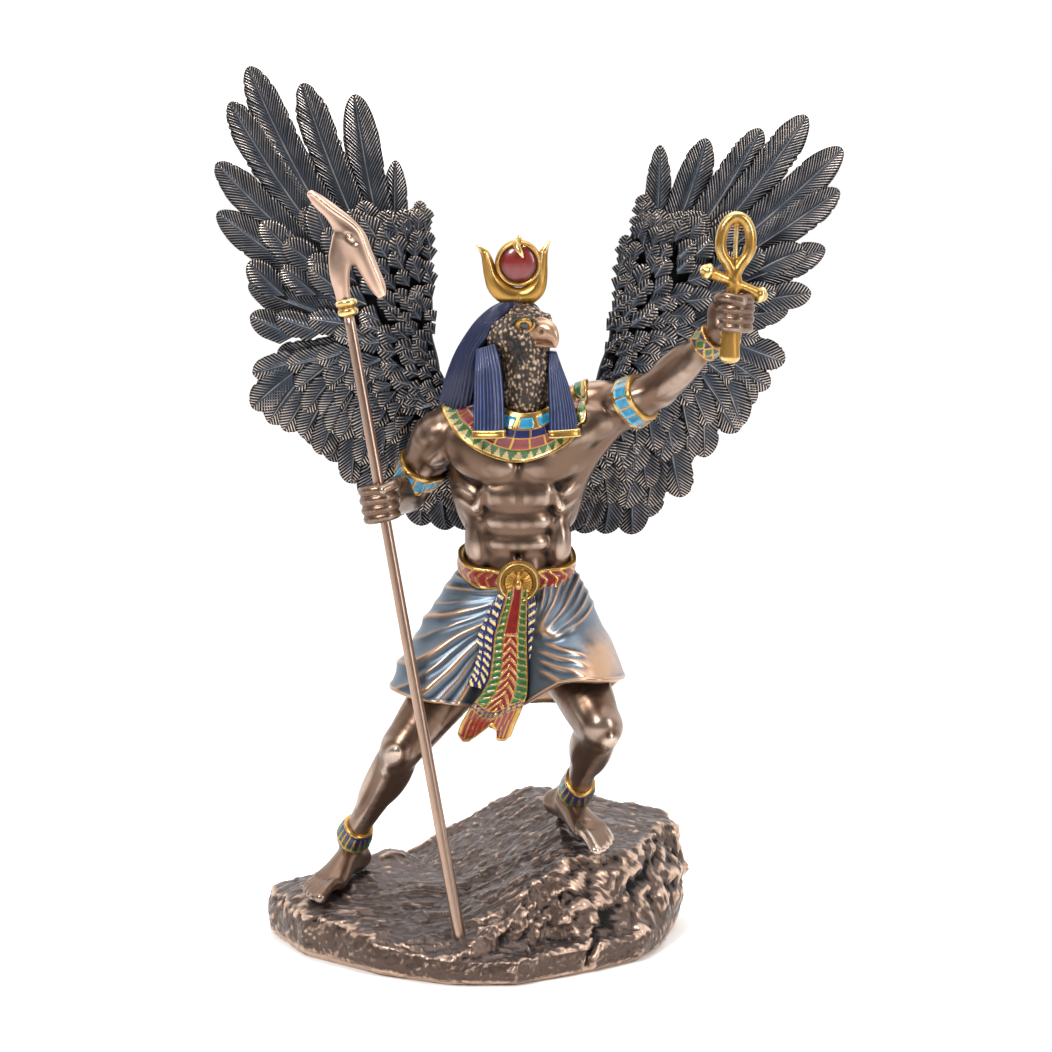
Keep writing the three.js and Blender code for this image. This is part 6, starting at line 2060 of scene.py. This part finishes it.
def rock_height(x, y):
    """Height of the rock: a low slab, a ramp to the high ledge and the cliff in front of it."""
    flat = np.stack([x, y, 0 * x], -1)
    mound = 6.5 * np.exp(-(((x + 31) / 9) ** 2 + ((y - 24) / 8) ** 2))
    low = 20.5 + 0.25 * np.minimum(y, 0) - 0.24 * np.maximum(y - 12, 0)
    low = low - 0.3 * np.maximum(-50 - x, 0) + mound
    ramp = 18 + 0.55 * (x + 24 + 0.35 * (y - 40))
    top = 39 - 0.18 * (x - 22) + 0.15 * np.minimum(y - 14, 0)
    steps = 2.6 * terraces(1.6 * noise(flat, 11.0), 0.4) / 1.6 + 0.5 * noise(flat, 4.0)
    cliff = 9 + 2.1 * np.maximum(cliff_depth(x, y) + steps, 0)
    shelf = 1.6 * noise(flat, 6.0) + 0.8 * noise(flat, 2.4)
    ledge = np.where(x > 14, 9 + shelf, 60)
    z = np.maximum(np.minimum(low, ledge), np.minimum(np.minimum(ramp, top), cliff))
    return z - 4.5 * np.exp(-(((x - 3) / 8) ** 2) - (((y + 35 - 0.3 * x) / 3.2) ** 2))


def disc_map(u, v):
    """A square spread evenly over the outline of the rock."""
    wide = np.abs(u) > np.abs(v)
    r = np.where(wide, u, v)
    other = np.where(wide, v, u) / np.where(np.abs(r) < 1e-9, 1, r)
    turn = np.where(wide, 0.25 * np.pi * other, 0.5 * np.pi - 0.25 * np.pi * other)
    way = np.arctan2(r * np.sin(turn), r * np.cos(turn))
    far = np.abs(r) * outline_table(way)
    return far * np.cos(way), far * np.sin(way)


def outline_table(way):
    """Reach of the rounded outline of the rock, by direction."""
    marks = np.linspace(-np.pi, np.pi, 721)
    reach = smooth_round(outline_reach(marks[:-1]), 6)
    return np.interp(way, marks, np.append(reach, reach[0]))


def terraces(value, sharp):
    """Flat steps with short slopes between them."""
    whole = np.floor(value)
    return whole + step_up(1 - sharp / 2, sharp, value - whole)


def build_rock():
    n, down = 184, 20
    even = np.linspace(-1, 1, n + 1)
    fine = np.linspace(-1, 1, 900)
    x, y = disc_map(*np.meshgrid(even, fine, indexing="ij"))
    z = rock_height(x, y)
    path = np.sqrt(np.diff(x, axis=1) ** 2 + np.diff(y, axis=1) ** 2 + np.diff(z, axis=1) ** 2)
    path = np.concatenate([np.zeros((n + 1, 1)), np.cumsum(path, axis=1)], axis=1)
    v = np.array([np.interp(np.linspace(0, row[-1], n + 1), row, fine) for row in path])
    u = np.broadcast_to(even[:, None], v.shape)
    x, y = disc_map(u, v)
    edge = (1 - np.maximum(np.abs(u), np.abs(v))) * outline_table(np.arctan2(y, x))
    top = np.stack([x, y, rock_height(x, y) - 1.1 * np.exp(-edge / 0.7)], axis=-1)
    number = np.arange((n + 1) ** 2).reshape(n + 1, n + 1)
    ring = np.concatenate([number[:-1, 0], number[-1, :-1], number[:0:-1, -1], number[0, :0:-1]])
    flat = top.reshape(-1, 3)
    rim = flat[ring]
    t = np.linspace(0, 1, down + 1)[1:, None]
    lean = 1 + 0.02 * np.sin(np.pi * t) - 0.03 * t**5
    side = np.stack([rim[:, 0] * lean, rim[:, 1] * lean, rim[:, 2] * (1 - t)], axis=-1)
    places = np.vstack([flat, side.reshape(-1, 3), [[0, 0, 0]]])
    rows = np.vstack([ring, len(flat) + np.arange(down * len(ring)).reshape(down, -1)])
    nxt = np.roll(rows, -1, axis=1)
    walls = np.stack([rows[:-1], nxt[:-1], nxt[1:], rows[1:]], axis=-1).reshape(-1, 4)
    middle = np.full(len(ring), len(places) - 1)
    floor = np.stack([rows[-1], nxt[-1], middle, middle], axis=1)
    quads = np.vstack([grid_faces(n + 1, n + 1)[:, ::-1], walls[:, ::-1], floor[:, ::-1]])
    normals = normals_of(places, quads)
    normals = normals * np.sign(normals[len(flat) // 2, 2])
    amount = rock_relief(places, normals)
    foot = np.clip(places[:, 2] / 2.0, 0, 1)
    places = places + (amount * foot)[:, None] * normals
    places[:, 2] = np.maximum(places[:, 2], 0)
    wear = 0.55 * crests(places, quads, 2, 2.6) + 0.45 * crests(places, quads, 8, 0.9)
    return make("rock", places, quads, [finish("rock_patina_and_sheen")], wear, replaces=("rock_base",))


def rock_relief(p, normals):
    """How far the surface of the rock stands out: flakes on flat parts, broken layers on steep ones."""
    steep = step_up(0.55, 0.5, 1 - np.abs(normals[:, 2]))
    bend = 1.4 * noise(p, 6.0)[:, None] * np.array([0.4, 1, 1])
    flakes = noise((p + bend) * (0.3, 1, 1), 5.2) + 0.45 * noise((p + bend) * (0.4, 1, 1), 2.1)
    flakes = 0.62 * terraces(2.6 * flakes, 0.22) / 1.3
    lines = 1 - np.abs(noise((p + bend) * (0.35, 1.1, 1), 2.6))
    lines = 0.45 * np.maximum(lines - 0.72, 0) / 0.28
    # Layers climb to the right across the cliff.
    climb = np.stack([0.3 * (p[:, 0] + p[:, 2]), p[:, 1], 1.2 * (p[:, 2] - 0.62 * p[:, 0])], axis=-1)
    layers = noise(climb + bend, 5.0) + 0.5 * noise(climb, 2.3)
    layers = 1.25 * terraces(2.2 * layers, 0.3) / 1.3
    _, gap, value, lean = cells(p * (0.8, 1, 0.7) + bend, 4.2)
    chips = 0.7 * (value - 0.5) + 1.5 * lean - 0.4 * np.exp(-gap / 0.06)
    _, _, value, lean = cells(p + 0.5 * bend, 1.7)
    small = 0.22 * (value - 0.5) + 0.5 * lean
    grain = 0.1 * noise(p, 0.8) + 0.12 * noise(p, 1.5)
    wedge = 2.6 * np.exp(-(((p[:, 0] - 33 - 0.35 * (p[:, 2] - 5)) / 1.1) ** 2))
    wedge = wedge * (p[:, 1] < -18) * (p[:, 2] < 13)
    high = 0.3 + 0.7 * step_up(13, 8, p[:, 2])
    broken = high * (layers + 0.8 * chips) + 0.7 * small
    return (1 - steep) * (flakes + lines + 0.4 * small) + steep * broken + grain - wedge


# Operators


class FIGURINE_OT_stage(bpy.types.Operator):
    """Sets the floor, the lights, the backdrop and the camera"""

    bl_idname = "figurine.stage"
    bl_label = "Stage"

    def execute(self, context):
        build_stage()
        return {"FINISHED"}


class FIGURINE_OT_wings(bpy.types.Operator):
    """Models both wings, feather by feather"""

    bl_idname = "figurine.wings"
    bl_label = "Wings"

    def execute(self, context):
        build_wing("wing_right_feathers", WING_RIGHT, "wing_right")
        build_wing("wing_left_feathers", WING_LEFT, "wing_left")
        return {"FINISHED"}


class FIGURINE_OT_body(bpy.types.Operator):
    """Models the body, the hands and the feet"""

    bl_idname = "figurine.body"
    bl_label = "Body"

    def execute(self, context):
        build_body()
        return {"FINISHED"}


class FIGURINE_OT_head(bpy.types.Operator):
    """Models the falcon's head with its beak and eyes"""

    bl_idname = "figurine.head"
    bl_label = "Head"

    def execute(self, context):
        build_head()
        return {"FINISHED"}


class FIGURINE_OT_wig(bpy.types.Operator):
    """Models the striped wig with its lappets"""

    bl_idname = "figurine.wig"
    bl_label = "Wig"

    def execute(self, context):
        build_wig()
        return {"FINISHED"}


class FIGURINE_OT_crown(bpy.types.Operator):
    """Models the horns, the sun disc and the cobra"""

    bl_idname = "figurine.crown"
    bl_label = "Crown"

    def execute(self, context):
        build_crown()
        return {"FINISHED"}


class FIGURINE_OT_bands(bpy.types.Operator):
    """Models the armlets, the bracelet and the anklets"""

    bl_idname = "figurine.bands"
    bl_label = "Bands"

    def execute(self, context):
        build_bands()
        return {"FINISHED"}


class FIGURINE_OT_collar(bpy.types.Operator):
    """Models the broad collar"""

    bl_idname = "figurine.collar"
    bl_label = "Collar"

    def execute(self, context):
        build_collar()
        return {"FINISHED"}


class FIGURINE_OT_kilt(bpy.types.Operator):
    """Models the kilt with its folds"""

    bl_idname = "figurine.kilt"
    bl_label = "Kilt"

    def execute(self, context):
        build_kilt()
        return {"FINISHED"}


class FIGURINE_OT_belt(bpy.types.Operator):
    """Models the belt, its buckle, the sash and its pleats"""

    bl_idname = "figurine.belt"
    bl_label = "Belt and sash"

    def execute(self, context):
        build_belt()
        build_buckle()
        build_sash()
        build_pleats()
        return {"FINISHED"}


class FIGURINE_OT_sceptre(bpy.types.Operator):
    """Models the sceptre, its rod and its rings"""

    bl_idname = "figurine.sceptre"
    bl_label = "Sceptre"

    def execute(self, context):
        build_sceptre()
        return {"FINISHED"}


class FIGURINE_OT_ankh(bpy.types.Operator):
    """Models the looped cross"""

    bl_idname = "figurine.ankh"
    bl_label = "Ankh"

    def execute(self, context):
        build_ankh()
        return {"FINISHED"}


class FIGURINE_OT_rock(bpy.types.Operator):
    """Models the broken rock he stands on"""

    bl_idname = "figurine.rock"
    bl_label = "Rock"

    def execute(self, context):
        build_rock()
        return {"FINISHED"}


def build_stage():
    scene = bpy.context.scene
    scene.view_settings.view_transform = "Standard"
    bpy.ops.mesh.primitive_plane_add(size=6, location=(0, 0, 0))
    floor = bpy.context.object
    floor.name = "floor"
    material = bpy.data.materials.new("floor_paper")
    material.use_nodes = True
    tree = material.node_tree
    shader = tree.nodes["Principled BSDF"]
    place = add(tree, "ShaderNodeTexCoord").outputs["Object"]
    cloud = add(tree, "ShaderNodeTexNoise", {"Vector": place, "Scale": 9.0})
    paper = colours().floor
    shade = ramp(tree, cloud.outputs["Fac"], [(0, tuple(0.97 * c for c in paper)), (1, paper)])
    tree.links.new(shade, shader.inputs["Base Color"])
    shader.inputs["Roughness"].default_value = 0.7
    floor.data.materials.append(material)
    world = bpy.data.worlds.new("studio")
    scene.world = world
    world.use_nodes = True
    tree = world.node_tree
    way = add(tree, "ShaderNodeTexCoord").outputs["Generated"]
    parts = add(tree, "ShaderNodeSeparateXYZ", {"Vector": way}).outputs
    lean = add(
        tree, "ShaderNodeMath", {0: parts["Z"], 1: 0.5, 2: parts["Y"]}, operation="MULTIPLY_ADD"
    ).outputs[0]
    share = add(
        tree, "ShaderNodeMapRange", {"Value": lean, "From Min": -0.55, "From Max": 0.5}
    ).outputs["Result"]
    tree.links.new(ramp(tree, share, WORLD_SHADES), tree.nodes["Background"].inputs["Color"])
    tree.nodes["Background"].inputs["Strength"].default_value = WORLD_STRENGTH
    for name, at, size, power in LIGHTS:
        lamp = bpy.data.lights.new(name, "AREA")
        lamp.energy = power
        lamp.shape = "RECTANGLE"
        lamp.size, lamp.size_y = size
        lit = bpy.data.objects.new(name, lamp)
        scene.collection.objects.link(lit)
        lit.location = at
        aim = np.array(CAMERA["target"]) * MM - np.array(at)
        lit.rotation_euler = look(aim)
    camera = bpy.data.cameras.new("camera")
    camera.sensor_width = SENSOR_WIDTH
    camera.lens = SENSOR_WIDTH * CAMERA["focal_px"] / PHOTO_SIDE
    camera.clip_start = 0.05
    eye = bpy.data.objects.new("camera", camera)
    scene.collection.objects.link(eye)
    tilt = math.radians(CAMERA["elevation"])
    target = np.array(CAMERA["target"]) * MM
    away = np.array([0, -math.cos(tilt), math.sin(tilt)]) * CAMERA["distance"] * MM
    eye.location = target + away
    eye.rotation_euler = look(-away)
    scene.camera = eye


def look(direction):
    """The turn that makes a lamp or a camera face a direction."""
    return Vector(direction).to_track_quat("-Z", "Y").to_euler()


# The photo's side in pixels and the sensor's in millimetres.
PHOTO_SIDE = 1052
SENSOR_WIDTH = 36
CAMERA = {"target": (13, 0, 135), "distance": 1200, "elevation": 10, "focal_px": 3840}
# Dark room in front of the figurine, pale sweep behind it and above.
WORLD_SHADES = [(0.0, (0.03, 0.03, 0.032)), (0.45, (0.1, 0.1, 0.104)), (1.0, (1.0, 1.0, 1.0))]
WORLD_STRENGTH = 1.62
# Soft boxes: place, size and power.
LIGHTS = [
    ("key", (-0.4, -0.75, 0.85), (0.2, 0.3), 9.0),
    ("fill", (0.75, -0.6, 0.5), (0.12, 0.6), 4.0),
    ("top", (0.05, 0.1, 1.0), (0.8, 0.8), 5.0),
]


class FIGURINE_PT_panel(bpy.types.Panel):
    """Lists the steps that build the figurine"""

    bl_idname = "FIGURINE_PT_panel"
    bl_label = "Figurine"
    bl_space_type = "VIEW_3D"
    bl_region_type = "UI"
    bl_category = "Figurine"

    def draw(self, context):
        for step in STEPS:
            self.layout.operator(step.bl_idname)


STEPS = (
    FIGURINE_OT_stage, FIGURINE_OT_rock, FIGURINE_OT_body, FIGURINE_OT_kilt, FIGURINE_OT_belt,
    FIGURINE_OT_collar, FIGURINE_OT_bands, FIGURINE_OT_head, FIGURINE_OT_wig, FIGURINE_OT_crown,
    FIGURINE_OT_wings, FIGURINE_OT_sceptre, FIGURINE_OT_ankh,
)
CLASSES = (FigurineColours, FigurineSizes, *STEPS, FIGURINE_PT_panel)


def register():
    for one in CLASSES:
        bpy.utils.register_class(one)
    bpy.types.Scene.figurine_colours = PointerProperty(type=FigurineColours)
    bpy.types.Scene.figurine_sizes = PointerProperty(type=FigurineSizes)


def unregister():
    del bpy.types.Scene.figurine_sizes
    del bpy.types.Scene.figurine_colours
    for one in reversed(CLASSES):
        bpy.utils.unregister_class(one)


def main():
    register()
    for step in STEPS:
        group, name = step.bl_idname.split(".")
        getattr(getattr(bpy.ops, group), name)()


if __name__ == "__main__":
    main()
